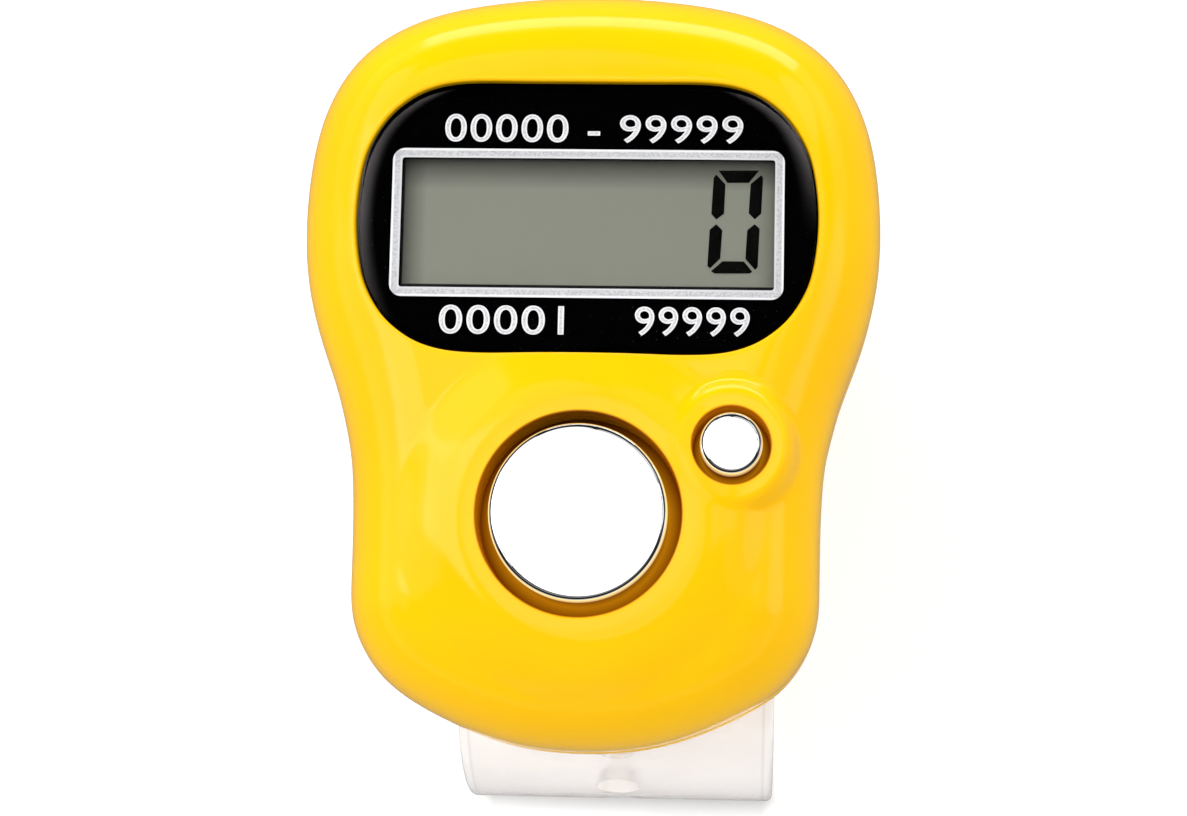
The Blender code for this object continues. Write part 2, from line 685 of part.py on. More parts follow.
def display_supports():
    """The rubber connector strip under the glass ledge, and the foam strip under the other edge."""
    half = LCD_WIDTH / 2 - ZEBRA_INSET
    ledge_y = LCD_Y - LCD_HEIGHT / 2 + LCD_LEDGE / 2
    part("zebra_connector", box(
        (-half, ledge_y - ZEBRA_WIDTH / 2, BOARD_TOP + SEAT_GAP),
        (half, ledge_y + ZEBRA_WIDTH / 2, LCD_TOP - LCD_GLASS - SEAT_GAP),
    ), RUBBER)
    foam_y = LCD_Y + LCD_HEIGHT / 2
    part("lcd_foam_strip", box(
        (-half, foam_y - FOAM_WIDTH, BOARD_TOP + SEAT_GAP),
        (half, foam_y, REFLECTOR_TOP - REFLECTOR_THICK - SEAT_GAP),
    ), DARK_RUBBER)


# Buttons and keys

def fillet(radius, top):
    """Profile points of a rounded upper edge, from the flat top to the side."""
    points = []
    for step in range(FILLET_STEPS + 1):
        angle = math.pi / 2 * step / FILLET_STEPS
        points.append((
            radius - BUTTON_FILLET * (1 - math.sin(angle)),
            top - BUTTON_FILLET * (1 - math.cos(angle)),
        ))
    return points


def count_button():
    """The large chromed cap: a hollow dish with a stem, kept in the case by its flange."""
    flange_low = FLANGE_TOP - FLANGE_THICK
    inner = COUNT_RADIUS - BUTTON_WALL
    stem = inner / 3
    profile = [(0, COUNT_TOP)] + fillet(COUNT_RADIUS, COUNT_TOP) + [
        (COUNT_RADIUS, FLANGE_TOP),
        (COUNT_HOLE_RADIUS + FLANGE_OVERHANG, FLANGE_TOP),
        (COUNT_HOLE_RADIUS + FLANGE_OVERHANG, flange_low),
        (inner, flange_low),
        (inner, COUNT_TOP - BUTTON_WALL),
        (stem, COUNT_TOP - BUTTON_WALL),
        (stem, flange_low),
        (0, flange_low),
    ]
    part("count_button", turned(profile, COUNT), CHROME)


def reset_button():
    """The small chromed pin, solid, with the same kind of flange."""
    flange_low = FLANGE_TOP - FLANGE_THICK
    profile = [(0, RESET_TOP)] + fillet(RESET_RADIUS, RESET_TOP) + [
        (RESET_RADIUS, FLANGE_TOP),
        (RESET_HOLE_RADIUS + FLANGE_OVERHANG, FLANGE_TOP),
        (RESET_HOLE_RADIUS + FLANGE_OVERHANG, flange_low),
        (0, flange_low),
    ]
    part("reset_button", turned(profile, RESET, MEDIUM_POINTS), CHROME)


def rubber_key(name, place, radius):
    """A silicone dome that springs its button back: a base ring, a thin cone and a flat top."""
    low = BOARD_TOP + PAD_THICK + 2 * LAYER_GAP
    top = FLANGE_TOP - FLANGE_THICK - SEAT_GAP
    profile = [
        (0, top),
        (radius * KEY_TOP_SHARE, top),
        (radius * KEY_TOP_SHARE, top - RUBBER_BASE),
        (radius * KEY_FOOT_SHARE, low + RUBBER_BASE),
        (radius, low + RUBBER_BASE),
        (radius, low),
        (radius * KEY_INNER_SHARE, low),
        (radius * KEY_TOP_SHARE / 2, top - 2 * RUBBER_BASE),
        (0, top - 2 * RUBBER_BASE),
    ]
    part(name, turned(profile, place, MEDIUM_POINTS), RUBBER)


# Circuit board and what is on it

def circuit_board():
    outline = inset(case_outline(), WALL + SEAT_GAP + TONGUE_THICK + BOARD_MARGIN)
    board = part("circuit_board", slab(outline, BOARD_Z, BOARD_TOP), BOARD)
    for place in CASE_SCREWS.values():
        gap = CASE_BOSS_RADIUS + BOARD_MARGIN
        cut(board, cylinder(gap, BOARD_Z - OVERRUN, BOARD_TOP + OVERRUN, place))
    for place in BOARD_SCREWS.values():
        hole = BOARD_SCREW_RADIUS + SCREW_GAP
        cut(board, cylinder(hole, BOARD_Z - OVERRUN, BOARD_TOP + OVERRUN, place, SMALL_POINTS))


def board_parts():
    """Contact pads under the keys, the chip under its drop of resin, and two small parts."""
    low = BOARD_TOP + LAYER_GAP
    for name, place, radius in (
        ("count_contact_pad", COUNT, COUNT_RUBBER_RADIUS), ("reset_contact_pad", RESET, RESET_RUBBER_RADIUS)
    ):
        part(name, cylinder(radius * KEY_TOP_SHARE, low, low + PAD_THICK, place), BRASS)
    drop = []
    for step in range(EDGE_STEPS + 1):
        angle = math.pi / 2 * step / EDGE_STEPS
        drop.append((BLOB_RADIUS * math.sin(angle), low + BLOB_HEIGHT * math.cos(angle)))
    part("chip_blob", turned(drop + [(0, low)], BLOB, SMALL_POINTS), EPOXY)
    for name, step, finish in (("capacitor", 0, CERAMIC), ("resistor", 1, EPOXY)):
        x, y = CHIP_X, LCD_Y - step * CHIP_STEP
        part(name, box(
            (x - CHIP_LENGTH / 2, y - CHIP_WIDTH / 2, low),
            (x + CHIP_LENGTH / 2, y + CHIP_WIDTH / 2, low + CHIP_HEIGHT),
        ), finish)


# Battery

def battery_cell():
    top = CELL_Z + CELL_HEIGHT
    part("battery_cell", turned([
        (0, top),
        (CELL_CAP_RADIUS, top),
        (CELL_CAP_RADIUS, top - CELL_CAP_HEIGHT),
        (CELL_RADIUS, top - CELL_CAP_HEIGHT),
        (CELL_RADIUS, CELL_Z),
        (0, CELL_Z),
    ], CELL), STEEL)


def band(name, rows, thick, finish):
    """A ribbon through rows of points, given its thickness on both sides."""
    shape = bmesh.new()
    grid = [[shape.verts.new(point) for point in row] for row in rows]
    for row, following in zip(grid, grid[1:]):
        for i in range(len(row) - 1):
            shape.faces.new((row[i], row[i + 1], following[i + 1], following[i]))
    strip = part(name, solid(finished(shape, name)), finish)
    thickness = strip.modifiers.new("thickness", "SOLIDIFY")
    thickness.thickness = thick
    thickness.offset = 0
    thickness.use_even_offset = True
    return strip


def battery_contact(name, path):
    """A strip of sheet metal bent along a path of (y, z) points."""
    rows = [[(side * LEAF_WIDTH / 2, y, z) for side in (-1, 1)] for y, z in path]
    band(name, rows, LEAF_THICK, BRASS)


def battery_contacts():
    """The leaf that presses on the cell's cap, and the clip that reaches round under its can."""
    board_under = BOARD_Z - LEAF_THICK / 2 - SEAT_GAP
    cap_top = CELL_Z + CELL_HEIGHT + LEAF_THICK / 2 + SEAT_GAP
    cap_reach = CELL_CAP_RADIUS * LEAF_REACH_SHARE
    battery_contact("battery_leaf_contact", [
        (CELL[1] + cap_reach, board_under), (CELL[1] + cap_reach / 2, board_under),
        (CELL[1], cap_top), (CELL[1] - cap_reach, cap_top),
    ])
    side = CELL[1] - CELL_RADIUS - LEAF_THICK / 2 - SEAT_GAP
    under = CELL_Z - LEAF_THICK / 2 - SEAT_GAP
    battery_contact("battery_clip_contact", [
        (side - LEAF_WIDTH / 2, board_under), (side, board_under), (side, under),
        (CELL[1] - CELL_RADIUS * LEAF_REACH_SHARE, under),
    ])


# Screws

def screw(name, place, head_low, head_radius, head_height, radius, tip):
    """A pan head screw that is driven in from behind, with its thread left smooth."""
    part(name, turned([
        (0, tip),
        (radius / 2, tip),
        (radius, tip - radius),
        (radius, head_low + head_height),
        (head_radius, head_low + head_height),
        (head_radius, head_low + head_height / 3),
        (head_radius * SCREW_EDGE_SHARE, head_low),
        (0, head_low),
    ], place, SMALL_POINTS), STEEL)


def screws():
    for side, place in CASE_SCREWS.items():
        screw("case_screw_" + side, place, CASE_SCREW_SINK, CASE_SCREW_HEAD, CASE_SCREW_HEAD_HEIGHT,
              CASE_SCREW_RADIUS, CASE_SCREW_TIP)
    head_low = BOARD_Z - SCREW_GAP - BOARD_SCREW_HEAD_HEIGHT
    for side, place in BOARD_SCREWS.items():
        screw("board_screw_" + side, place, head_low, BOARD_SCREW_HEAD, BOARD_SCREW_HEAD_HEIGHT,
              BOARD_SCREW_RADIUS, BOARD_SCREW_TIP)


# Strap

def quarter(centre_y, centre_z, reach, start):
    """Points of a quarter of an ellipse, from one angle to the next right angle."""
    points = []
    for step in range(STRAP_STEPS + 1):
        angle = start + math.pi / 2 * step / STRAP_STEPS
        points.append((centre_y + reach[0] * math.cos(angle), centre_z + reach[1] * math.sin(angle)))
    return points


def end_steps():
    """Distances from a rounded end of the band, closer together where its corners turn."""
    angles = [math.pi / 2 * step / CORNER_STEPS for step in range(CORNER_STEPS + 1)]
    return [STRAP_END_ROUND * (1 - math.cos(angle)) for angle in angles]


def strap_path():
    """The middle line of the band as (y, z): from its adjustable end, down and round, to its fixed end."""
    half = STRAP_THICK / 2
    low_y, high_y = STRAP_LOW_Y + half, STRAP_HIGH_Y - half
    top_z, low_z = STRAP_TOP - half, -STRAP_DEPTH + half
    turn_z = top_z - STRAP_UPPER_CORNER_Z
    upper = (STRAP_UPPER_CORNER_Y, STRAP_UPPER_CORNER_Z)
    lower = (STRAP_LOWER_CORNER_Y, turn_z - low_z)
    path = [(STRAP_ADJUST_STUD_Y + STRAP_TAIL - step, top_z) for step in end_steps()]
    path += quarter(low_y + upper[0], turn_z, upper, math.pi / 2)
    path += quarter(low_y + lower[0], turn_z, lower, math.pi)[1:]
    path += quarter(high_y - lower[0], turn_z, lower, 1.5 * math.pi)
    path += quarter(high_y - upper[0], turn_z, upper, 0)[1:]
    path += [(STRAP_FIXED_STUD_Y - STRAP_TAIL + step, top_z) for step in reversed(end_steps())]
    return path


def along_path(path, distance):
    """The point at a distance along the path, and the angle at which the path runs there."""
    for (y, z), (next_y, next_z) in zip(path, path[1:]):
        length = math.hypot(next_y - y, next_z - z)
        if distance <= length:
            share = distance / length
            point = (y + (next_y - y) * share, z + (next_z - z) * share)
            return point, math.atan2(next_z - z, next_y - y)
        distance -= length
    return path[-1], 0


def strap_hole(point, angle):
    """A round cutter square to the band at a point of its path."""
    hole = cylinder(STRAP_HOLE_RADIUS, -STRAP_THICK, STRAP_THICK, points=SMALL_POINTS)
    hole.location = (STRAP_X, *point)
    hole.rotation_euler = (angle, 0, 0)
    return hole


def finger_strap():
    """A soft clear band with both ends pushed over the studs, and a row of holes to adjust it."""
    path = strap_path()
    steps = [math.dist(point, following) for point, following in zip(path, path[1:])]
    run = [sum(steps[:number]) for number in range(len(path))]
    rows = []
    for (y, z), before in zip(path, run):
        cut_in = max(STRAP_END_ROUND - min(before, run[-1] - before), 0)
        half_width = STRAP_WIDTH / 2 - STRAP_END_ROUND + math.sqrt(STRAP_END_ROUND**2 - cut_in**2)
        columns = (-1, -STRAP_COLUMN_SHARE, STRAP_COLUMN_SHARE, 1)
        rows.append([(STRAP_X + half_width * side, y, z) for side in columns])
    strap = band("finger_strap", rows, STRAP_THICK, STRAP)
    for number in range(STRAP_HOLES):
        cut(strap, strap_hole(*along_path(path, STRAP_TAIL + number * STRAP_HOLE_STEP)))
    cut(strap, strap_hole((STRAP_FIXED_STUD_Y, path[0][1]), 0))


front_case()
rear_cover()
window()
display_glasses()
display_supports()
count_button()
reset_button()
rubber_key("count_rubber_key", COUNT, COUNT_RUBBER_RADIUS)
rubber_key("reset_rubber_key", RESET, RESET_RUBBER_RADIUS)
circuit_board()
board_parts()
battery_cell()
battery_contacts()
screws()
finger_strap()
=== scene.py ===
# %% [markdown]
# # A finger tally counter
#
# The counter lies face up on its soft strap loop: a glossy yellow case, a black window with a small
# display, two chromed buttons, and a clear band behind. The packed CAD model is the frame, and it says
# where every piece is. This lesson dresses it piece by piece, each in the way that suits it best.

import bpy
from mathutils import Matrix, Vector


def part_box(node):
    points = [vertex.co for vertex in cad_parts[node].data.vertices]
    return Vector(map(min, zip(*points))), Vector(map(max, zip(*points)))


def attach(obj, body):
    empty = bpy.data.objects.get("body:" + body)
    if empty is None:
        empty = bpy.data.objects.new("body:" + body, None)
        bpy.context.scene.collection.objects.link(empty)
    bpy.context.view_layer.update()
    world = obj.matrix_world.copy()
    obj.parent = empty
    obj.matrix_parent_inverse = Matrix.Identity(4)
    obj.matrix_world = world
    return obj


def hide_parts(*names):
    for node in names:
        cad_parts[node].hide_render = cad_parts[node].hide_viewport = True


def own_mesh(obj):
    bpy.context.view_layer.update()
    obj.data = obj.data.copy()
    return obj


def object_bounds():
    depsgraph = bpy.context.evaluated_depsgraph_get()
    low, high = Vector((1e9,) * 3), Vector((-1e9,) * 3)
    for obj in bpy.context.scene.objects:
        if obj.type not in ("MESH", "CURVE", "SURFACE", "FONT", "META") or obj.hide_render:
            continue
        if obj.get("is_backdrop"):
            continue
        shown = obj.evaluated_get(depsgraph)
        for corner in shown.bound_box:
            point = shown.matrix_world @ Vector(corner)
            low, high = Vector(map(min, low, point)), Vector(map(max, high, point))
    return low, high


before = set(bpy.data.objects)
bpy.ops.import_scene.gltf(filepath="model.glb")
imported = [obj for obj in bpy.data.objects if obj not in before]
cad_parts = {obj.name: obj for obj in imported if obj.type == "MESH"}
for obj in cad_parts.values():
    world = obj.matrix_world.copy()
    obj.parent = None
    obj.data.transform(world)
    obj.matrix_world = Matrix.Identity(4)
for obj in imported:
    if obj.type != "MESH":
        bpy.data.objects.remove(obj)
cad_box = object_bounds()
print("nodes:", len(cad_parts))

# %% [markdown]
# ## Working sizes
#
# The counter is small, so its pieces are drawn in millimetres. The drawing's origin is the middle of the
# case's back, and one function moves finished points to the frame, which is in metres.

# %% Millimetres and the place of the case
import math

import bmesh
import bpy
import numpy as np
from mathutils import Matrix, Vector
from mathutils.geometry import delaunay_2d_cdt

MM = 0.001
HOME = np.array((0.0, 0.000925, 0.0186))


def in_frame(points):
    """Points of the drawing, in millimetres, as points of the frame, in metres."""
    return np.asarray(points, float) * MM + HOME


def thing(name, data):
    """A new object in the scene."""
    made = bpy.data.objects.new(name, data)
    bpy.context.scene.collection.objects.link(made)
    return made


low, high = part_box("display_lens")
print("lens, mm:", [round(float(v), 2) for v in ((np.array(low) - HOME) / MM)])

# %% [markdown]
# ## The camera
#
# The photo looks down at the face from 145 mm away, tilted 9 degrees towards the lower end and a little to
# the right. A camera is its place and three directions: right, up and backwards. The slight turn of the
# picture is a turn of the first two in their own plane.

# %% Set up the camera
VIEW_DISTANCE = 145
VIEW_TILT = math.radians(9)
VIEW_SIDE = math.radians(3.2)
VIEW_ROLL = math.radians(1.25)
VIEW_TARGET = Vector((0.21, -1.83, 5.5))
PICTURE_WIDTH = 1187
FOCAL_PIXELS = 2888
SENSOR = 36

backwards = Vector((
    math.sin(VIEW_SIDE) * math.cos(VIEW_TILT), -math.sin(VIEW_TILT), math.cos(VIEW_SIDE) * math.cos(VIEW_TILT),
))
level = Vector((0, 1, 0)).cross(backwards).normalized()
upright = backwards.cross(level)
right = level * math.cos(VIEW_ROLL) + upright * math.sin(VIEW_ROLL)
up = backwards.cross(right)

camera = thing("camera", bpy.data.cameras.new("camera"))
camera.data.sensor_width = SENSOR
camera.data.lens = FOCAL_PIXELS / PICTURE_WIDTH * SENSOR
camera.data.clip_start = 0.01
camera.data.clip_end = 10
eye = Vector(in_frame(VIEW_TARGET + backwards * VIEW_DISTANCE))
camera.matrix_world = Matrix.Translation(eye) @ Matrix((right, up, backwards)).transposed().to_4x4()
bpy.context.scene.camera = camera
print("lens, mm:", round(camera.data.lens, 1))

# %% [markdown]
# ## Writing a material as a sum
#
# A material is a small program of nodes, and long chains of them are hard to read. Here a socket is
# wrapped in a class that knows Python's signs, so that a mask can be written as 1 - mask, and one method
# adds any other node. Geometry Nodes and the sky further on are written in the same way.

# %% Shader values that can be added and multiplied


class Value:
    """A socket in a tree of nodes that can stand in a Python sum."""

    def __init__(self, nodes, socket):
        self.nodes, self.socket = nodes, socket

    def sum(self, operation, first, second=0.0):
        return self.nodes.node("ShaderNodeMath", {"operation": operation}, {0: first, 1: second})

    def out(self, name):
        """Another output of the same node."""
        return Value(self.nodes, self.socket.node.outputs[name])

    def larger(self, other):
        return self.sum("MAXIMUM", self, other)

    def sine(self):
        return self.sum("SINE", self)

    def __abs__(self):
        return self.sum("ABSOLUTE", self)


def both_ways(operation):
    """What Python's sign between a value and something else adds, in either order."""
    return (
        lambda value, other: value.sum(operation, value, other),
        lambda value, other: value.sum(operation, other, value),
    )


SIGNS = {"add": "ADD", "sub": "SUBTRACT", "mul": "MULTIPLY", "truediv": "DIVIDE", "pow": "POWER"}
for sign, operation in SIGNS.items():
    plain, reflected = both_ways(operation)
    setattr(Value, f"__{sign}__", plain)
    setattr(Value, f"__r{sign}__", reflected)
print("signs that work on a value:", ", ".join(SIGNS))

# %% [markdown]
# ## A maker for materials
#
# A finish is a Principled shader and what makes it vary: where a point is, clouds of noise, a mix of two
# colours, a bump. These are methods of one class, so that each material further on takes a few lines.

# %% A tree of nodes, and a material


class Nodes:
    """A tree of nodes in the making."""

    def __init__(self, tree):
        self.tree = tree

    def node(self, kind, settings=None, sockets=None, out=0):
        """Adds a node. Its settings come first, then the values or links of its sockets."""
        made = self.tree.nodes.new(kind)
        for name, setting in (settings or {}).items():
            setattr(made, name, setting)
        for name, values in (sockets or {}).items():
            for value in values if isinstance(values, list) else [values]:
                if isinstance(value, Value):
                    self.tree.links.new(value.socket, made.inputs[name])
                else:
                    made.inputs[name].default_value = value
        return Value(self, made.outputs[out]) if made.outputs else None

    def between(self, value, low, high, first=0.0, last=1.0):
        """The first value below low, the last above high and a straight line in between."""
        sockets = {"Value": value, "From Min": low, "From Max": high, "To Min": first, "To Max": last}
        return self.node("ShaderNodeMapRange", {}, sockets)


class Paint(Nodes):
    """A material in the making: its Principled shader, and methods that add nodes."""

    def __init__(self, name, color, roughness, **constants):
        self.material = bpy.data.materials.new(name)
        self.material.use_nodes = True
        super().__init__(self.material.node_tree)
        self.shader = self.tree.nodes["Principled BSDF"]
        for socket, value in {"Base Color": (*color, 1), "Roughness": roughness, **constants}.items():
            self.shader.inputs[socket.replace("_", " ")].default_value = value

    def feed(self, **sockets):
        """Links what varies over the surface to sockets of the shader."""
        for socket, value in sockets.items():
            self.tree.links.new(value.socket, self.shader.inputs[socket.replace("_", " ")])

    def place(self):
        return self.node("ShaderNodeTexCoord", out="Object")

    def spot(self):
        """Where a point of the surface is, in the drawing's millimetres."""
        split = self.node("ShaderNodeSeparateXYZ", {}, {0: self.place()})
        return [(split.out(axis) - float(HOME[axis])) / MM for axis in range(3)]

    def noise(self, size, detail=2.0, where=None):
        """Cloudy noise, with clouds of about a size in millimetres."""
        sockets = {"Vector": where or self.place(), "Scale": 1 / (size * MM), "Detail": detail}
        return self.node("ShaderNodeTexNoise", {}, sockets)

    def mix(self, share, first, second):
        """A mix of two colours."""
        colors = {6: first, 7: second}
        colors = {k: v if isinstance(v, Value) else (*v, 1) for k, v in colors.items()}
        return self.node("ShaderNodeMix", {"data_type": "RGBA"}, {0: share, **colors}, out=2)

    def bump(self, height, depth):
        """Makes a height pattern, up to a depth in millimetres, show on the surface."""
        sockets = {"Height": height, "Distance": depth * MM, "Strength": 1.0}
        self.feed(Normal=self.node("ShaderNodeBump", {}, sockets))

    def pass_shadow(self, share):
        """Lets a share of the shadow rays straight through."""
        passed = share * self.node("ShaderNodeLightPath", out="Is Shadow Ray")
        sockets = {0: passed, 1: Value(self, self.shader.outputs[0]), 2: self.node("ShaderNodeBsdfTransparent")}
        surface = self.node("ShaderNodeMixShader", {}, sockets)
        self.tree.links.new(surface.socket, self.tree.nodes["Material Output"].inputs["Surface"])


print("ways to vary a finish:", ", ".join(name for name in vars(Paint) if not name.startswith("_")))

# %% [markdown]
# ## Yellow gloss plastic
#
# The case is injection moulded from a bright yellow plastic and polished. Even so its colour wanders a
# little, its gloss is worn, and it isn't quite flat. The colour is a mix of two close yellows, the gloss
# varies with fine noise, and a very shallow bump stirs the reflections. In the narrow gaps round the
# buttons the walls are painted brown as shade, and a painted glow is added where the case is lit.

# %% Yellow plastic

COUNT, COUNT_HOLE = (0.0, -8.05), 4.9
RESET, RESET_HOLE = (7.20, -4.631), 1.87


def from_place(x, y, place):
    """How far a point of the surface is from a place of the face, seen from above."""
    across, along = x - place[0], y - place[1]
    return (across * across + along * along) ** 0.5


def by_holes(paint):
    """A point's height, how far it is outside each button's hole, and how lit the case is there."""
    x, y, z = paint.spot()
    lit = 1 - (1 - 0.3 * paint.between(x, 1.0, 4.0)) * paint.between(y - COUNT[1], 0.5, 4.4)
    return z, from_place(x, y, COUNT) - COUNT_HOLE, from_place(x, y, RESET) - RESET_HOLE, lit


yellow = Paint(
    "yellow_gloss_plastic", (0.95, 0.53, 0.0), 0.12, Specular_IOR_Level=0.2, IOR=1.5, Emission_Strength=1.0,
)
clouds = yellow.between(yellow.noise(9, 3), 0.35, 0.65)
even = yellow.mix(clouds, (0.955, 0.53, 0.0), (0.935, 0.50, 0.001))
z, from_count, from_reset, lit = by_holes(yellow)
# Painted shade and glow: the walls of the button holes are painted brown, and glow where the case is lit.
hole_wall_shade = (1 - yellow.between(from_count, 0.02, 0.10)).larger(1 - yellow.between(from_reset, 0.02, 0.10))
hole_wall_shade = hole_wall_shade * yellow.between(z, 10.0, 12.4)
lit = lit.larger(1 - yellow.between(from_reset, 0.3, 0.4))
yellow.feed(
    Base_Color=yellow.mix(hole_wall_shade, even, (0.32, 0.09, 0.001)),
    Emission_Color=yellow.mix(hole_wall_shade * lit, (0, 0, 0), (0.15, 0.035, 0.0)),
    Roughness=0.10 + 0.05 * yellow.between(yellow.noise(0.25, 4), 0.3, 0.7),
)
yellow.bump(yellow.noise(1.6, 1) + 0.15 * yellow.noise(0.12, 2), 0.0012)
print("made", yellow.material.name)

# %% [markdown]
# ## From points to a finished piece
#
# Every piece goes the same way: its points and faces become a mesh, doubled points are merged, the faces
# are turned outwards, and the piece is given a material and a body to ride on.

# %% Helpers for meshes

MERGE = 0.0000005
SHARP = math.radians(32)


def cleaned(mesh):
    """Merges doubled points and turns the faces outwards."""
    shape = bmesh.new()
    shape.from_mesh(mesh)
    bmesh.ops.remove_doubles(shape, verts=shape.verts, dist=MERGE)
    bmesh.ops.recalc_face_normals(shape, faces=shape.faces)
    shape.to_mesh(mesh)
    shape.free()
    return mesh


def bare_mesh(name, points, faces):
    """A mesh from points in millimetres."""
    mesh = bpy.data.meshes.new(name)
    mesh.from_pydata([tuple(p) for p in in_frame(points)], [], [tuple(int(i) for i in f) for f in faces])
    return cleaned(mesh)


def settled(made):
    """The shape of an object, with its modifiers, as a plain mesh."""
    return bpy.data.meshes.new_from_object(made.evaluated_get(bpy.context.evaluated_depsgraph_get()))


def applied(made):
    """Turns an object's modifiers into its own mesh."""
    mesh = settled(made)
    made.modifiers.clear()
    made.data = mesh
    return made


def finish(made, paint, body, slot, *nodes):
    """The last steps of every piece. It replaces the nodes that are named."""
    made.data.materials.clear()
    made.data.materials.append(paint.material)
    made.data.shade_smooth()
    made.data.set_sharp_from_angle(angle=SHARP)
    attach(made, body)
    if nodes:
        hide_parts(*nodes)
    print(made.name, len(made.data.polygons), "faces on", body)
    return made


def piece(name, shape, *rest):
    """A finished piece from points and faces."""
    return finish(thing(name, bare_mesh(name, *shape)), *rest)


def strips(rings):
    """Points and faces that join closed rings of equally many points, each to the next."""
    number = len(rings[0])
    faces = []
    for start in range(0, number * (len(rings) - 1), number):
        for i in range(number):
            j = (i + 1) % number
            faces.append((start + i, start + j, start + number + j, start + number + i))
    return np.concatenate(rings), faces


def joined(*patches):
    """Several sets of points and faces as one."""
    points, faces, start = [], [], 0
    for patch_points, patch_faces in patches:
        points.append(np.asarray(patch_points, float).reshape(-1, 3))
        faces += [tuple(i + start for i in face) for face in patch_faces]
        start += len(points[-1])
    return np.concatenate(points), faces


def raised(flat, z):
    """Flat points at a height, or at a height for each."""
    return np.column_stack([flat, np.broadcast_to(z, len(flat))])


def right_angle(steps):
    """Angles from 0 to a right angle."""
    return [math.pi / 2 * step / steps for step in range(steps + 1)]


print("points merge below, mm:", MERGE / MM)

# %% [markdown]
# ## The case's outline
#
# Seen from the front the case is a rounded pear. A closed cubic spline through a few measured points of
# its right half gives the whole line, because the left half mirrors them. The window's outline is drawn
# the same way, from a quarter.

# %% Outlines
CASE_WIDTH, CASE_HEIGHT = 29.0, 38.0
CASE_SHARES = (
    (0.0, 1.0), (0.295, 0.987), (0.547, 0.950), (0.723, 0.890), (0.850, 0.805), (0.941, 0.680),
    (0.986, 0.534), (1.0, 0.368), (0.983, 0.208), (0.931, 0.058), (0.874, -0.064), (0.838, -0.164),
    (0.814, -0.261), (0.802, -0.428), (0.801, -0.567), (0.787, -0.681), (0.697, -0.807),
    (0.529, -0.900), (0.265, -0.978), (0.0, -1.0),
)
WINDOW_WIDTH, WINDOW_HEIGHT, WINDOW_Y = 22.3, 13.3, 6.55
WINDOW_SHARES = (
    (0.0, 1.0), (0.30, 1.0), (0.50, 0.999), (0.625, 0.976), (0.733, 0.916), (0.815, 0.826),
    (0.882, 0.713), (0.948, 0.5255), (0.981, 0.338), (1.0, 0.0),
)


def smooth_closed(points, count):
    """Evenly spaced points along the periodic cubic spline through the given points."""
    knots = np.array(points, float)
    number = len(knots)
    spans = np.sqrt(np.linalg.norm(np.roll(knots, -1, 0) - knots, axis=1))
    system, target = np.zeros((number, number)), np.zeros((number, 2))
    for i in range(number):
        before, after, following = spans[i - 1], spans[i], (i + 1) % number
        system[i, i - 1] += before / 6
        system[i, i] += (before + after) / 3
        system[i, following] += after / 6
        target[i] = (knots[following] - knots[i]) / after - (knots[i] - knots[i - 1]) / before
    bend = np.linalg.solve(system, target)
    dense = []
    for i in range(number):
        span, following = spans[i], (i + 1) % number
        ahead = np.linspace(0, span, 60, endpoint=False)[:, None]
        back = span - ahead
        dense.append(
            (bend[i] * back**3 + bend[following] * ahead**3) / (6 * span)
            + (knots[i] / span - bend[i] * span / 6) * back
            + (knots[following] / span - bend[following] * span / 6) * ahead
        )
    dense = np.concatenate(dense + [dense[0][:1]])
    length = np.concatenate([[0], np.cumsum(np.linalg.norm(np.diff(dense, axis=0), axis=1))])
    wanted = np.linspace(0, length[-1], count, endpoint=False)
    return np.stack([np.interp(wanted, length, dense[:, axis]) for axis in (0, 1)], axis=1)


def inset(outline, distance):
    """The outline moved inwards along its normals. Its points run clockwise."""
    along = np.roll(outline, -1, 0) - np.roll(outline, 1, 0)
    along = along / np.linalg.norm(along, axis=1)[:, None]
    return outline - distance * np.stack([-along[:, 1], along[:, 0]], axis=1)


def whole(right_side, width, height, count):
    """A closed outline from the shares of its right half."""
    half = [(x * width / 2, y * height / 2) for x, y in right_side]
    return smooth_closed(half + [(-x, y) for x, y in half[-2:0:-1]], count)


def window_line(grow):
    """The window's outline, grown by a distance."""
    right_side = list(WINDOW_SHARES) + [(x, -y) for x, y in WINDOW_SHARES[-2::-1]]
    return inset(whole(right_side, WINDOW_WIDTH, WINDOW_HEIGHT, 240), -grow) + (0, WINDOW_Y)


def circle(place, radius, count):
    turn = 2 * math.pi * np.arange(count) / count
    return np.stack([np.sin(turn), np.cos(turn)], axis=1) * radius + place


case_line = whole(CASE_SHARES, CASE_WIDTH, CASE_HEIGHT, 420)
print("outline, mm:", np.ptp(case_line, axis=0).round(2))

# %% [markdown]
# ## The height of the face
#
# The front shell is one smooth skin: flat in the middle, rolled over at the edge, and raised in a ring
# round each button. So its height is a rule. It is worked out for any point from its distance to the
# outline and to the two buttons, and the shape follows wherever points are put.

# %% A rule for the skin
REAR_DEPTH, PARTING_Z, FACE_Z, CEILING_Z = 5.0, 5.1, 12.0, 10.2
EDGE_REACH, EDGE_POWER = 5.0, 2.3
LIP, CREST_OUT = 0.12, 0.6
COUNT_FOOT, RESET_FOOT = 8.9, 3.4
MOUNDS = ((COUNT, COUNT_HOLE, 12.9, COUNT_FOOT), (RESET, RESET_HOLE, 12.6, RESET_FOOT))
MOUND_BLEND, MOUND_SLOPE = 4, 1.7


def edge_distance(points):
    """How far points lie inside the case's outline."""
    along = np.roll(case_line, -1, 0) - case_line
    nearest = np.full(len(points), np.inf)
    for start, step in zip(case_line, along):
        share = np.clip((points - start) @ step / (step @ step), 0, 1)
        nearest = np.minimum(nearest, np.linalg.norm(points - start - share[:, None] * step, axis=1))
    return nearest


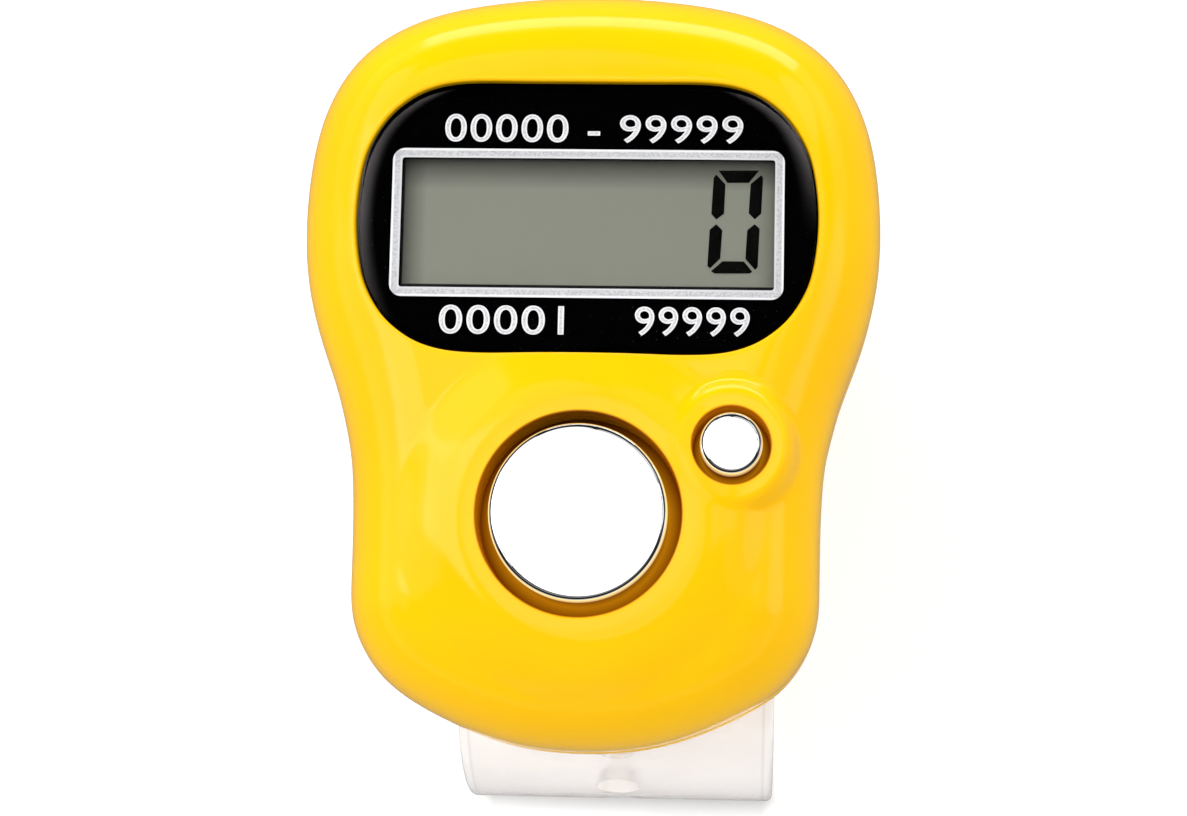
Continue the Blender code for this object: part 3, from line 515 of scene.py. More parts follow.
def skin_height(points):
    """The height of the outer skin over points of the face."""
    share = np.clip(edge_distance(points) / EDGE_REACH, 0, 1)
    base = PARTING_Z + (FACE_Z - PARTING_Z) * (1 - (1 - share) ** EDGE_POWER) ** (1 / EDGE_POWER)
    rises = 0
    for place, hole, top, foot in MOUNDS:
        crest = hole + CREST_OUT
        out = np.clip((np.linalg.norm(points - place, axis=1) - crest) / (foot - crest), 0, 1)
        rises = rises + ((top - base) * (1 - out**2.0) ** MOUND_SLOPE) ** MOUND_BLEND
    return base + rises ** (1 / MOUND_BLEND)


print("height beside the count button:", skin_height(np.array([[-5.3, -8.05]])).round(2))

# %% [markdown]
# ## Points for the skin
#
# Points are laid where the form turns: along the rolled edge in rings that crowd together where it is
# steep, and round the buttons in circles. A Delaunay triangulation then joins them, and keeps the lines
# of the holes and of the window as edges.

# %% Lay out the points
EDGE_BAND, SKIN_STEP, FIELD_STEP = 0.7, 0.16, 0.3
COUNT_STEP, COUNT_POINTS = 0.13, 256
RESET_STEP, RESET_POINTS = 0.10, 112
POCKET_GAP, WINDOW_LIP = 0.1, 0.15
NEAR, OFF_LIP, OFF_WINDOW, SLACK = 0.1, 0.06, 0.07, 0.0005


def away_from(points, place, radius):
    return np.linalg.norm(points - np.array(place), axis=1) > radius


def off_mounds(points):
    """Points that lie on neither button's mound."""
    return points[away_from(points, COUNT, COUNT_FOOT + NEAR) & away_from(points, RESET, RESET_FOOT + NEAR)]


def inside(points, loop):
    """Whether points lie inside a closed loop."""
    x, y = points[:, 0], points[:, 1]
    odd = np.zeros(len(points), bool)
    for (ax, ay), (bx, by) in zip(loop, np.roll(loop, -1, 0)):
        crosses = (ay > y) != (by > y)
        if ay != by:
            odd ^= crosses & (x < (bx - ax) * (y - ay) / (by - ay) + ax)
    return odd


edge_steps = EDGE_REACH * (1 - np.sin(math.pi / 2 * (1 - np.arange(40) / 40)) ** (2 / EDGE_POWER))
edge_steps = np.append(edge_steps[edge_steps < EDGE_BAND], EDGE_BAND)
seam_ring = inset(case_line, EDGE_BAND)
window_lip = window_line(POCKET_GAP + WINDOW_LIP)
count_lip = circle(COUNT, COUNT_HOLE + LIP, COUNT_POINTS)
reset_lip = circle(RESET, RESET_HOLE + LIP, RESET_POINTS)

loose = []
for depth in np.arange(EDGE_BAND + SKIN_STEP, EDGE_REACH + 0.4, SKIN_STEP):
    ring = inset(case_line, depth)
    loose.append(off_mounds(ring[edge_distance(ring) > depth - 0.02]))
field = np.meshgrid(np.arange(-14, 14, FIELD_STEP), np.arange(-18, 18, FIELD_STEP))
field = np.stack(field, axis=-1).reshape(-1, 2)
field = field[inside(field, case_line)]
loose.append(off_mounds(field[edge_distance(field) > EDGE_REACH + 0.5]))
for radius in np.arange(COUNT_HOLE + LIP + COUNT_STEP, COUNT_FOOT + 0.05, COUNT_STEP):
    ring = circle(COUNT, radius, COUNT_POINTS)
    loose.append(ring[away_from(ring, RESET, RESET_FOOT + NEAR)])
for radius in np.arange(RESET_HOLE + LIP + RESET_STEP, RESET_FOOT + 0.05, RESET_STEP):
    ring = circle(RESET, radius, RESET_POINTS)
    loose.append(ring[away_from(ring, COUNT, COUNT_HOLE + LIP + OFF_LIP)])
loose = np.concatenate(loose)
loose = loose[~inside(loose, window_line(POCKET_GAP + WINDOW_LIP + OFF_WINDOW))]
print("loose points:", len(loose))

# %% [markdown]
# ## Patches for the skin
#
# A shell with openings is easiest to build from patches that share their edges. Three kinds are enough
# here: triangles that fill a flat outline round its holes, faces that roll over an edge into a hole, and
# rings for the meeting edge. Both halves of the case are rounded a little where they meet, which draws the
# seam as a fine groove.

# %% Helpers for patches

SEAM = ((0.12, 0.0), (0.035, 0.035), (0.0, 0.12))


def filled(loops, points, keep):
    """Triangles between closed loops, through loose points. keep says which of their middles count."""
    flat = np.concatenate(list(loops) + [points])
    edges, start = [], 0
    for loop in loops:
        edges += [(start + i, start + (i + 1) % len(loop)) for i in range(len(loop))]
        start += len(loop)
    found, _, faces, _, _, _ = delaunay_2d_cdt([Vector(p) for p in flat], edges, [], 0, 0.00001)
    found, faces = np.array([tuple(p) for p in found]), np.array(faces)
    return found, faces[keep(found[faces].mean(axis=1))]


def rolled_in(outer, inner, drop, low):
    """Faces that roll from an edge of the skin down into a hole, and its wall down to a height."""
    rings = []
    for turn in right_angle(6):
        flat = outer[:, :2] + (inner - outer[:, :2]) * math.sin(turn)
        rings.append(raised(flat, outer[:, 2] - drop * (1 - math.cos(turn))))
    return strips(rings + [raised(inner, low)])


def on_skin(flat):
    return raised(flat, skin_height(flat))


def off_holes(points, more):
    return away_from(points, COUNT, COUNT_HOLE + more) & away_from(points, RESET, RESET_HOLE + more)


def seam_rings(rise):
    """The rounded meeting edge of one half, which goes up (1) or down (-1) from the seam."""
    seam_z = PARTING_Z if rise > 0 else REAR_DEPTH
    return [raised(inset(case_line, depth), seam_z + rise * height) for depth, height in SEAM]


print("seam, mm:", round(PARTING_Z - REAR_DEPTH, 2))

# %% [markdown]
# ## The front shell's outer form
#
# The patches come together: the steep band at the edge, the triangulated face, a rounded lip and a wall
# for each opening, and the flat bottom. They are joined as they are, and the merge of doubled points closes
# them to one solid that Boolean modifiers can cut.

# %% Build the outer form

POCKET_Z = 10.80


def open_face(middles):
    return inside(middles, seam_ring) & ~inside(middles, window_lip) & off_holes(middles, LIP - SLACK)


def open_floor(middles):
    return inside(middles, floor_line) & off_holes(middles, -SLACK)


seam_roll = seam_rings(1)
floor_line = seam_roll[0][:, :2]
count_hole, reset_hole = circle(COUNT, COUNT_HOLE, COUNT_POINTS), circle(RESET, RESET_HOLE, RESET_POINTS)
pocket = raised(window_line(POCKET_GAP), POCKET_Z)
face_points, face_triangles = filled([seam_ring, window_lip, count_lip, reset_lip], loose, open_face)
floor_points, floor_triangles = filled([floor_line, count_hole, reset_hole], np.zeros((0, 2)), open_floor)
front_shell = thing("front_shell", bare_mesh("front_shell", *joined(
    (on_skin(face_points), face_triangles),
    strips(seam_roll + [on_skin(inset(case_line, depth)) for depth in edge_steps[1:]]),
    rolled_in(on_skin(count_lip), count_hole, LIP, PARTING_Z),
    rolled_in(on_skin(reset_lip), reset_hole, LIP, PARTING_Z),
    rolled_in(on_skin(window_lip), window_line(POCKET_GAP), WINDOW_LIP, POCKET_Z),
    (pocket, [tuple(range(len(pocket)))]),
    (raised(floor_points, PARTING_Z), floor_triangles),
)))
print("outer form:", len(front_shell.data.polygons), "faces")

# %% [markdown]
# ## Hollowing the shell
#
# Inside, the shell has a nearly even wall, a well for the display, and bosses for the screws. These are simple
# forms, so Boolean modifiers cut and join them. The modifiers are applied before the piece is finished.

# %% Cutters and bosses

CASE_SCREWS = ((-8.6, 12.9), (8.6, 12.9))
BOARD_SCREWS = ((-8.6, -1.0), (8.6, -1.0), (0.0, -15.4))
BOSS, BOSS_HOLE, BOSS_TOP, BOSS_HOLE_TOP = 1.6, 0.85, 10.5, 7.2
POST, POST_HOLE, POST_LOW, POST_HOLE_TOP = 1.2, 0.6, 7.1, 8.5
WALL, INNER_ROUND, RESET_FLANGE_ROOM = 1.5, 5.2, 2.57
UNDER_SHELL, UNDER_POSTS = 4.0, 6.0
ROUND, HOLE_ROUND, CELL_ROUND = 64, 32, 96
LCD_WIDTH, LCD_HEIGHT, LCD_Y, WELL_GAP, WELL_LOW = 18.9, 8.8, 6.3, 0.1, 9.2
ADD, CUT = "UNION", "DIFFERENCE"


def capped(rings):
    """A closed solid through rings."""
    points, faces = strips(rings)
    number, last = len(rings[0]), len(points)
    return points, faces + [tuple(range(number)), tuple(range(last - number, last))]


def block(low, high):
    corners = np.array([(low[0], low[1]), (low[0], high[1]), (high[0], high[1]), (high[0], low[1])], float)
    return capped([raised(corners, low[2]), raised(corners, high[2])])


def glass_block(gap, low, high):
    """A block over the display's glass, with a gap round it."""
    half = np.array((LCD_WIDTH / 2 + gap, LCD_HEIGHT / 2 + gap))
    return block((-half[0], LCD_Y - half[1], low), (half[0], LCD_Y + half[1], high))


def change(made, operation, solid):
    """Joins a solid to a piece or cuts it out, and applies that at once."""
    tool = thing("tool", bare_mesh("tool", *solid))
    step = made.modifiers.new("step", "BOOLEAN")
    step.operation, step.solver, step.object = operation, "EXACT", tool
    applied(made)
    bpy.data.objects.remove(tool, do_unlink=True)


def pillars(made, places, *steps):
    """Joins and cuts upright pillars at places: each step's radius, heights and number of sides."""
    for place in places:
        for operation, radius, low, high, count in steps:
            line = circle(place, radius, count)
            change(made, operation, capped([raised(line, low), raised(line, high)]))


inner_rings = [raised(inset(case_line, WALL), UNDER_SHELL)]
for turn in right_angle(16):
    across = 1 - math.sin(math.pi / 2 - turn) ** (2 / EDGE_POWER)
    rise = (1 - (1 - across) ** EDGE_POWER) ** (1 / EDGE_POWER)
    depth = WALL + (EDGE_REACH - WALL) * across
    inner_rings.append(raised(inset(case_line, depth), CEILING_Z - INNER_ROUND * (1 - rise)))
change(front_shell, CUT, capped([ring[::3] for ring in inner_rings]))
change(front_shell, CUT, glass_block(WELL_GAP, WELL_LOW, FACE_Z))
pillars(front_shell, [RESET], (CUT, RESET_FLANGE_ROOM, UNDER_POSTS, CEILING_Z, ROUND))
pillars(
    front_shell, CASE_SCREWS, (ADD, BOSS, PARTING_Z, BOSS_TOP, ROUND),
    (CUT, BOSS_HOLE, UNDER_SHELL, BOSS_HOLE_TOP, HOLE_ROUND),
)
pillars(
    front_shell, BOARD_SCREWS, (ADD, POST, POST_LOW, BOSS_TOP, ROUND),
    (CUT, POST_HOLE, UNDER_POSTS, POST_HOLE_TOP, HOLE_ROUND),
)
finish(front_shell, yellow, "case", "case", "front_case")

# %% [markdown]
# ## The back cover
#
# The back is a shallow dish with a rounded edge, a tongue that fits into the front shell, a ring that
# holds the battery, and two mushroom studs for the strap. It is lofted from insets of the same outline,
# so that the two halves meet exactly.

# %% Back cover

BACK_ROUND, REAR_THICK, LEDGE, UNDER_COVER = 2.4, 1.3, 0.65, -1.0
TONGUE_OUT, TONGUE_IN, TONGUE_TOP = WALL + 0.1, WALL + 0.8, 6.0
HOLLOW_FOOT, ABOVE_TONGUE = 2.5, 7.0
CATCH_LOW, CATCH_HIGH = (-2.5, -18.0, 5.2), (2.5, -16.8, 5.8)
HEAD_ROOM, HEAD_DEPTH = 1.45, 1.2
CELL, CELL_ROOM, CELL_RING, CELL_RING_TOP, ABOVE_RING = (0.0, -7.0), 6.0, 6.7, 3.3, 4.3
CLIP_SLOT_LOW, CLIP_SLOT_HIGH = (-1.5, -14.4, REAR_THICK), (1.5, -9.9, ABOVE_RING)
STRAP_X, STUD_PLACES = 1.3, (0.2, -10.0)
STUD = (
    (0, 0.65), (1.0, 0.65), (1.0, -1.4), (1.6, -1.4), (1.6, -1.58), (1.52, -1.8), (1.38, -2.0), (0.8, -2.1),
    (0, -2.1),
)


def turned(profile, place, count=ROUND):
    """A solid of revolution from (radius, z) points that run from the axis to the axis."""
    return strips([raised(circle(place, max(radius, 0.0), count), z) for radius, z in profile])


def following(depth, z):
    """A ring that follows the outline inside the case, with every third of its points."""
    return raised(inset(case_line, depth)[::3], z)


rounded = [
    raised(inset(case_line, BACK_ROUND * (1 - math.sin(turn))), BACK_ROUND * (1 - math.cos(turn)))
    for turn in right_angle(16)
]
back_cover = thing("back_cover", bare_mesh("back_cover", *capped(rounded + seam_rings(-1)[::-1])))
change(back_cover, ADD, capped([following(TONGUE_OUT, REAR_THICK), following(TONGUE_OUT, TONGUE_TOP)]))
change(back_cover, CUT, capped([
    following(TONGUE_OUT + BACK_ROUND, REAR_THICK), following(TONGUE_IN, HOLLOW_FOOT),
    following(TONGUE_IN, ABOVE_TONGUE),
]))
change(back_cover, ADD, block(CATCH_LOW, CATCH_HIGH))
pillars(
    back_cover, CASE_SCREWS, (ADD, BOSS, LEDGE, REAR_DEPTH, ROUND),
    (CUT, BOSS_HOLE, UNDER_COVER, TONGUE_TOP, HOLE_ROUND), (CUT, HEAD_ROOM, UNDER_COVER, HEAD_DEPTH, ROUND),
)
pillars(
    back_cover, [CELL], (ADD, CELL_RING, LEDGE, CELL_RING_TOP, CELL_ROUND),
    (CUT, CELL_ROOM, REAR_THICK, ABOVE_RING, CELL_ROUND),
)
change(back_cover, CUT, block(CLIP_SLOT_LOW, CLIP_SLOT_HIGH))
for stud_y in STUD_PLACES:
    change(back_cover, ADD, turned(STUD, (STRAP_X, stud_y)))
finish(back_cover, yellow, "case", "case", "rear_cover")

# %% [markdown]
# ## The window
#
# The window is a clear plate let into the face, printed from behind: black all over but for the display's
# opening, with a silver line round that and numbers above and below. The plate is a thin solid with a
# softened edge, and its side is painted black as shade, where the shaded pocket wall would show through.
# Its material hardly bends light and lets shadow rays straight through, because light bent by glass
# would leave the print in the dark.

# %% Clear window plate

clear = Paint("clear_window", (1, 1, 1), 0.0, Transmission_Weight=1.0, IOR=1.01)
x, y, z = clear.spot()
# Painted shade: the plate's side is black, in place of the shaded pocket wall seen through it.
side = clear.between(z, 11.11, 11.14) * (1 - clear.between(z, 11.80, 11.86))
clear.feed(
    Base_Color=clear.mix(side, (1, 1, 1), (0, 0, 0)),
    Roughness=0.005 * clear.between(clear.noise(3.0, 4), 0.45, 0.75),
)
clear.pass_shadow(1.0)

PLATE_LOW, PLATE_SHOULDER, PLATE_ROUND = 11.1, 11.75, 0.15
plate_rings = [raised(window_line(0), PLATE_LOW)] + [
    raised(window_line(-PLATE_ROUND * (1 - math.cos(turn))), PLATE_SHOULDER + PLATE_ROUND * math.sin(turn))
    for turn in right_angle(5)
]
piece("window_plate", capped(plate_rings), clear, "case", "lens", "display_lens")

# %% [markdown]
# ## The print behind the window
#
# Black ink is nearly even, but a close look shows fine mottle. A grey sheen along its left and upper right
# edges is a painted reflection, a mask that follows the window's own edge, so its inner border is curved as
# the window is. A low rim closes the gap round the plate with a dark line, a black sheet put where the gap is in
# shade.

# %% Black label

LABEL_LOW, LABEL_TOP, RIM_TOP, RIM_OUT, RIM_IN = 10.84, 10.96, 11.14, 0.09, 0.01
OPEN_WIDTH, OPEN_HEIGHT, TRIM_Y, TRIM_CORNER, TRIM_BAND = 18.28, 6.48, 6.4, 0.6, 0.46

black = Paint("black_print", (0.0005, 0.0005, 0.0005), 0.35, Specular_IOR_Level=0.0)
x, y, z = black.spot()
off_middle = abs(y - WINDOW_Y) / (WINDOW_HEIGHT / 2)
reach = WINDOW_WIDTH / 2 * (1 - 0.166 * off_middle**2.0 - 0.21 * off_middle**6.0)
# Painted reflection: a grey sheen along the left and upper right edges of the black print.
left_painted_reflection = (1 - black.between(reach + x, 0.05, 0.80)) ** 2.5 * black.between(y, 1.5, 7.0)
right_painted_reflection = 0.65 * (1 - black.between(reach - x, 0.05, 0.90)) ** 2.0 * black.between(y, 5.5, 10.5) ** 2.0
# The rim gets no painted reflection: it stays black, for the shade in the gap.
below_rim = 1 - black.between(z, 10.97, 10.99)
even = black.mix(black.noise(0.8, 4), (0.0002, 0.0002, 0.0003), (0.0009, 0.0009, 0.001))
black.feed(
    Base_Color=black.mix((left_painted_reflection + right_painted_reflection) * below_rim, even, (0.16, 0.147, 0.147)),
    Roughness=0.3 + 0.2 * black.noise(0.3, 3),
)


def rounded_box(width, height, corner, middle_y, steps=8):
    """Clockwise points of a rectangle with round corners."""
    points = []
    for turn, side_x, side_y in ((0, 1, 1), (1, 1, -1), (2, -1, -1), (3, -1, 1)):
        middle = np.array((side_x * (width / 2 - corner), side_y * (height / 2 - corner)))
        for step in range(steps + 1):
            angle = math.pi / 2 * (1 - turn - step / steps)
            points.append(middle + corner * np.array((math.cos(angle), math.sin(angle))))
    return np.array(points) + (0, middle_y)


def framed(outer, inner, low, high):
    """A flat solid with an opening."""
    def ring_only(middles):
        return inside(middles, outer) & ~inside(middles, inner)
    found, triangles = filled([outer, inner], np.zeros((0, 2)), ring_only)
    return joined(
        (raised(found, low), triangles), (raised(found, high), triangles),
        *(strips([raised(line, low), raised(line, high)]) for line in (outer, inner)),
    )


opening = rounded_box(OPEN_WIDTH, OPEN_HEIGHT, TRIM_CORNER - TRIM_BAND, TRIM_Y)
# The rim is a black sheet that stands in for the shade in the gap round the plate.
piece("black_label", joined(
    framed(window_line(0), opening, LABEL_LOW, LABEL_TOP),
    framed(window_line(RIM_OUT), window_line(RIM_IN), LABEL_LOW, RIM_TOP),
), black, "case", "black_print", "window_label")

# %% [markdown]
# ## The silver line
#
# The line is printed with coarse flakes: it glitters in specks, and it is brightest along its two edges,
# where the ink is thickest. The material works out the distance to the line's middle: it is the larger of
# the distances to the upright sides and to the level ones, so that the bright edges turn every corner.

# %% Silver line

LINE_LOW, LINE_TOP = 11.0, 11.06

silver = Paint("silver_print", (0.6, 0.6, 0.62), 0.4)
flakes = silver.between(silver.noise(0.10, 3), 0.35, 0.65)
x, y, z = silver.spot()
off_side = abs(x) - (OPEN_WIDTH + TRIM_BAND) / 2
off_middle = off_side.larger(abs(y - TRIM_Y) - (OPEN_HEIGHT + TRIM_BAND) / 2)
dark = silver.mix(flakes, (0.31, 0.31, 0.32), (0.47, 0.47, 0.485))
inner = silver.mix(silver.between(0 - off_middle, 0.11, 0.17), dark, (0.49, 0.49, 0.50))
silver.feed(
    Base_Color=silver.mix(silver.between(off_middle, 0.10, 0.15), inner, (0.63, 0.63, 0.64)),
    Roughness=0.35 + 0.25 * flakes,
)

trim_outer = rounded_box(OPEN_WIDTH + 2 * TRIM_BAND, OPEN_HEIGHT + 2 * TRIM_BAND, TRIM_CORNER, TRIM_Y)
silver_ring = framed(trim_outer, opening, LINE_LOW, LINE_TOP)
piece("silver_line", silver_ring, silver, "case", "silver_print", "display_trim")

# %% [markdown]
# ## Numbers in silver
#
# The panel carries plain numbers: the counter's range above the display, and a first and a last count
# below. Their ink is thickest along the edges, as on the line. Text is a curve in Blender, and its offset
# makes it bolder or thinner, so each number is set twice: a bold one in pale silver, and on it a thinner
# one in the mottled silver.

# %% Printed numbers

pale = Paint("silver_edge", (0.64, 0.64, 0.65), 0.4)
pale.feed(Base_Color=pale.mix(pale.noise(0.08, 3), (0.58, 0.58, 0.59), (0.70, 0.70, 0.71)))
mottled = Paint("silver_fill", (0.45, 0.45, 0.46), 0.4)
speckle = mottled.between(mottled.noise(0.10, 3), 0.35, 0.65)
mottled.feed(
    Base_Color=mottled.mix(speckle, (0.34, 0.34, 0.355), (0.56, 0.56, 0.575)), Roughness=0.35 + 0.25 * speckle,
)


def text_points(words, offset):
    """A line of text as a mesh of size one, made bolder by an offset, and its points."""
    font = bpy.data.curves.new("words", "FONT")
    font.body, font.size, font.offset = words, 1, offset
    font.extrude, font.space_character = 0.01, 1.08
    lettering = thing("words", font)
    mesh = settled(lettering)
    bpy.data.objects.remove(lettering, do_unlink=True)
    return mesh, np.array([v.co for v in mesh.vertices])


BOLDER, THINNER, INK_THICK, EDGE_INK_Z, FILL_INK_Z = 0.008, -0.022, 0.02, 10.965, 10.971
NUMBERS = (
    ("range_numbers", "00000 - 99999", -7.08, 7.55, 10.46, 11.86),
    ("left_number", "00001", -7.11, -1.02, 0.87, 2.30),
    ("right_number", "99999", 2.43, 7.99, 0.88, 2.31),
)
for name, words, left, right, low, high in NUMBERS:
    _, bold = text_points(words, BOLDER)
    start, size = bold.min(axis=0), np.ptp(bold, axis=0)
    for ink, offset, paint, z in (("edge", BOLDER, pale, EDGE_INK_Z), ("fill", THINNER, mottled, FILL_INK_Z)):
        mesh, flat = text_points(words, offset)
        flat = (flat - start) / size * (right - left, high - low, INK_THICK) + (left, low, z)
        mesh.vertices.foreach_set("co", in_frame(flat).astype(np.float32).ravel())
        finish(thing(f"{name}_{ink}", cleaned(mesh)), paint, "case", "silver_print")

# %% [markdown]
# ## The display
#
# A liquid crystal display is grey-green and never quite even: it is darker near its upper and left edges,
# where the window's frame shades it, and a thin black gap shows between its glass and the frame. Each of
# these is a straight ramp of the distance to an edge, and their product is the tone.

# %% Display glass

GLASS_LOW, GLASS_TOP = 9.96, 10.76

glass = Paint("display_glass", (0.16, 0.167, 0.136), 0.35, Specular_IOR_Level=0.1)
x, y, z = glass.spot()
from_top = TRIM_Y + OPEN_HEIGHT / 2 - y
from_left = x + OPEN_WIDTH / 2
# Painted shade: darker near the upper and left edges under the frame, and a painted dark line for the gap along the
# lower and left edges.
shade = (
    (0.14 + 0.86 * glass.between(from_top, 0.0, 1.5))
    * (0.34 + 0.66 * glass.between(from_left, 0.1, 1.25))
    * (0.66 + 0.34 * glass.between(OPEN_WIDTH / 2 - x, 0.0, 0.9))
)
gap = glass.between(y - TRIM_Y + OPEN_HEIGHT / 2, 0.19, 0.23) * glass.between(from_left, 0.11, 0.15)
tone = shade * gap * (0.98 + 0.04 * glass.noise(0.5, 4))
glass.feed(
    Base_Color=glass.mix(tone, (0.0, 0.0, 0.0), (0.160, 0.166, 0.135)), Roughness=0.3 + 0.1 * glass.noise(0.4, 3),
)
front_glass = glass_block(0, GLASS_LOW, GLASS_TOP)
piece("display_glass", front_glass, glass, "case", "display_glass", "lcd_front_glass")

# %% [markdown]
# ## The figure
#
# A figure is made of seven segments with mitred ends, and a nought shows six of them. They lean a little,
# so each is drawn from its own corners, as a flat plate just above the glass.

# %% The figure

FIGURE_LOW, FIGURE_TOP = 10.765, 10.785

ink = Paint("segment_black", (0.002, 0.002, 0.002), 0.4, Specular_IOR_Level=0.0)
ink.feed(Base_Color=ink.mix(ink.noise(0.2, 3), (0.001, 0.001, 0.001), (0.004, 0.004, 0.0035)))
SEGMENTS = (
    ((6.38, 9.16), (8.35, 9.18), (7.86, 8.56), (6.82, 8.55)),
    ((6.26, 8.96), (6.14, 8.80), (6.05, 6.99), (6.30, 6.72), (6.67, 7.01), (6.72, 8.47)),
    ((8.47, 8.95), (8.55, 8.80), (8.48, 7.03), (8.17, 6.74), (7.87, 7.04), (7.95, 8.50)),
    ((6.30, 6.48), (5.98, 6.20), (5.90, 4.40), (6.03, 4.28), (6.52, 4.78), (6.60, 6.18)),
    ((8.17, 6.50), (8.41, 6.27), (8.34, 4.37), (8.22, 4.22), (7.74, 4.77), (7.81, 6.19)),
    ((6.08, 4.14), (6.26, 4.03), (7.95, 4.05), (8.08, 4.14), (7.67, 4.64), (6.63, 4.64)),
)
plates = [capped([raised(np.array(s), z) for z in (FIGURE_LOW, FIGURE_TOP)]) for s in SEGMENTS]
piece("display_figure", joined(*plates), ink, "case", "black_print")

# %% [markdown]
# ## Chromed buttons
#
# The caps are chromed. A polished flat face is a mirror, so what it shows is the studio, and only its fine
# round edge draws a line. A dark line and a bright ring are painted where that edge turns down: painted
# reflections of the dark gap and of the case's light. The flange under the face is made dull and painted
# dark brown as shade in the gap, and a painted amber glow lights it, most on the side that faces the light.

# %% Chrome

COUNT_CAP, COUNT_TOP, COUNT_FLANGE = 4.25, 13.6, 5.4
RESET_CAP, RESET_TOP, RESET_FLANGE = 1.5, 13.2, 2.37
FLANGE_TOP, FLANGE_LOW, FILLET = 10.1, 9.3, 0.28

chrome = Paint("chrome", (0.92, 0.93, 0.94), 0.03, Metallic=1.0, Specular_IOR_Level=0.0, Emission_Strength=1.0)
z, from_count, from_reset, lit = by_holes(chrome)
by_reset = 1 - chrome.between(from_reset, 0.5, 0.6)


def on_each(count, reset):
    """What holds for the count button's cap, and for the reset button's."""
    return count * (1 - by_reset) + reset * by_reset


haze = chrome.between(chrome.noise(1.2, 5), 0.5, 0.8)
# Painted shade: the flange is made dull and painted dark brown.
shaded_flange = 1 - chrome.between(z, 10.15, 10.25)
outward = on_each(chrome.between(from_count, -0.65, 0.0), chrome.between(from_reset, -0.37, 0.0))
off_cap = on_each(from_count + (COUNT_HOLE - COUNT_CAP), from_reset + (RESET_HOLE - RESET_CAP))
below_top = on_each(COUNT_TOP, RESET_TOP) - z
# Painted reflections: a bright ring and a dark line where the cap's edge turns down.
painted_bright_reflection = chrome.between(off_cap, -0.09, -0.06) * (1 - chrome.between(below_top, 0.50, 0.95))
painted_dark_reflection = chrome.between(off_cap, -0.20, -0.16) * (1 - chrome.between(off_cap, -0.11, -0.08))
plated = chrome.mix(painted_dark_reflection, chrome.mix(haze, (0.94, 0.94, 0.95), (0.88, 0.89, 0.90)), (0.03, 0.03, 0.032))
# Painted glow: amber emission on the flange, strongest where the case is lit.
amber = chrome.mix(outward, (0.42, 0.16, 0.002), (0.10, 0.018, 0.0))
glow = chrome.mix(shaded_flange * lit.larger(0.8 * by_reset), (0, 0, 0), amber)
chrome.feed(
    Base_Color=chrome.mix(shaded_flange, plated, (0.12, 0.03, 0.0)), Metallic=1 - shaded_flange,
    Roughness=0.02 + 0.03 * haze + 0.5 * shaded_flange,
    Emission_Color=chrome.mix(painted_bright_reflection * (0.35 + 0.65 * lit), glow, (0.62, 0.50, 0.26)),
)
print("made", chrome.material.name)

# %% [markdown]
# ## Turning the caps
#
# On the real counter each cap is moulded with a flange that keeps it in the case. A profile turned round
# its axis gives all of that at once. The edge of the face is a true quarter circle in the profile, so that
# it catches light the whole way round, and the large cap is hollow round the stem that presses its key.

# %% Buttons

CAP_HOLLOW, STEM, HOLLOW_TOP = 3.35, 1.12, 12.7
COUNT_ROUND, RESET_ROUND = 160, 96


def button(name, place, radius, top, flange, under, count):
    """A turned cap on a flange, with the profile points that follow under it."""
    profile = [(0.0, top), (radius * 0.5, top)]
    for turn in right_angle(10):
        profile.append((radius - FILLET * (1 - math.sin(turn)), top - FILLET * (1 - math.cos(turn))))
    profile += [(radius, FLANGE_TOP), (flange, FLANGE_TOP), (flange, FLANGE_LOW), *under, (0.0, FLANGE_LOW)]
    piece(name + "_cap", turned(profile, place, count), chrome, name + "_button", "button_chrome", name + "_button")


hollow = [(CAP_HOLLOW, FLANGE_LOW), (CAP_HOLLOW, HOLLOW_TOP), (STEM, HOLLOW_TOP), (STEM, FLANGE_LOW)]
button("count", COUNT, COUNT_CAP, COUNT_TOP, COUNT_FLANGE, hollow, COUNT_ROUND)
button("reset", RESET, RESET_CAP, RESET_TOP, RESET_FLANGE, [], RESET_ROUND)

# %% [markdown]
# ## The finger strap
#
# The strap is a soft clear band, bent into a loop and pushed over two studs. It is a loft of rounded
# sections along a path of quarter ellipses, narrower at its rounded ends. A loft keeps the sections square
# to the path, and gives even faces that bend with it.

# %% The strap's path and its band

STRAP_WIDTH, STRAP_THICK, STRAP_ROUND = 16.4, 1.2, 0.35
STRAP_END, STRAP_TAIL, STRAP_CUTS = 2.5, 2.8, 26
STRAP_LOW_Y, STRAP_HIGH_Y, STRAP_TOP_Z, STRAP_LOW_Z = -20.25, 8.0, -0.7, -18.0
UPPER_REACH, UPPER_DROP, LOWER_REACH = 6.5, 9.5, 5.5


def quarter(middle_y, reach_y, reach_z, start, steps=24):
    """A quarter of an ellipse from an angle on, about a middle where the loop is widest."""
    turns = start + math.pi / 2 * np.arange(steps + 1) / steps
    middle_z = STRAP_TOP_Z - UPPER_DROP
    return np.stack([middle_y + reach_y * np.cos(turns), middle_z + reach_z * np.sin(turns)], axis=1)


def level(along, z):
    return np.stack([along, np.full(len(along), z)], axis=1)


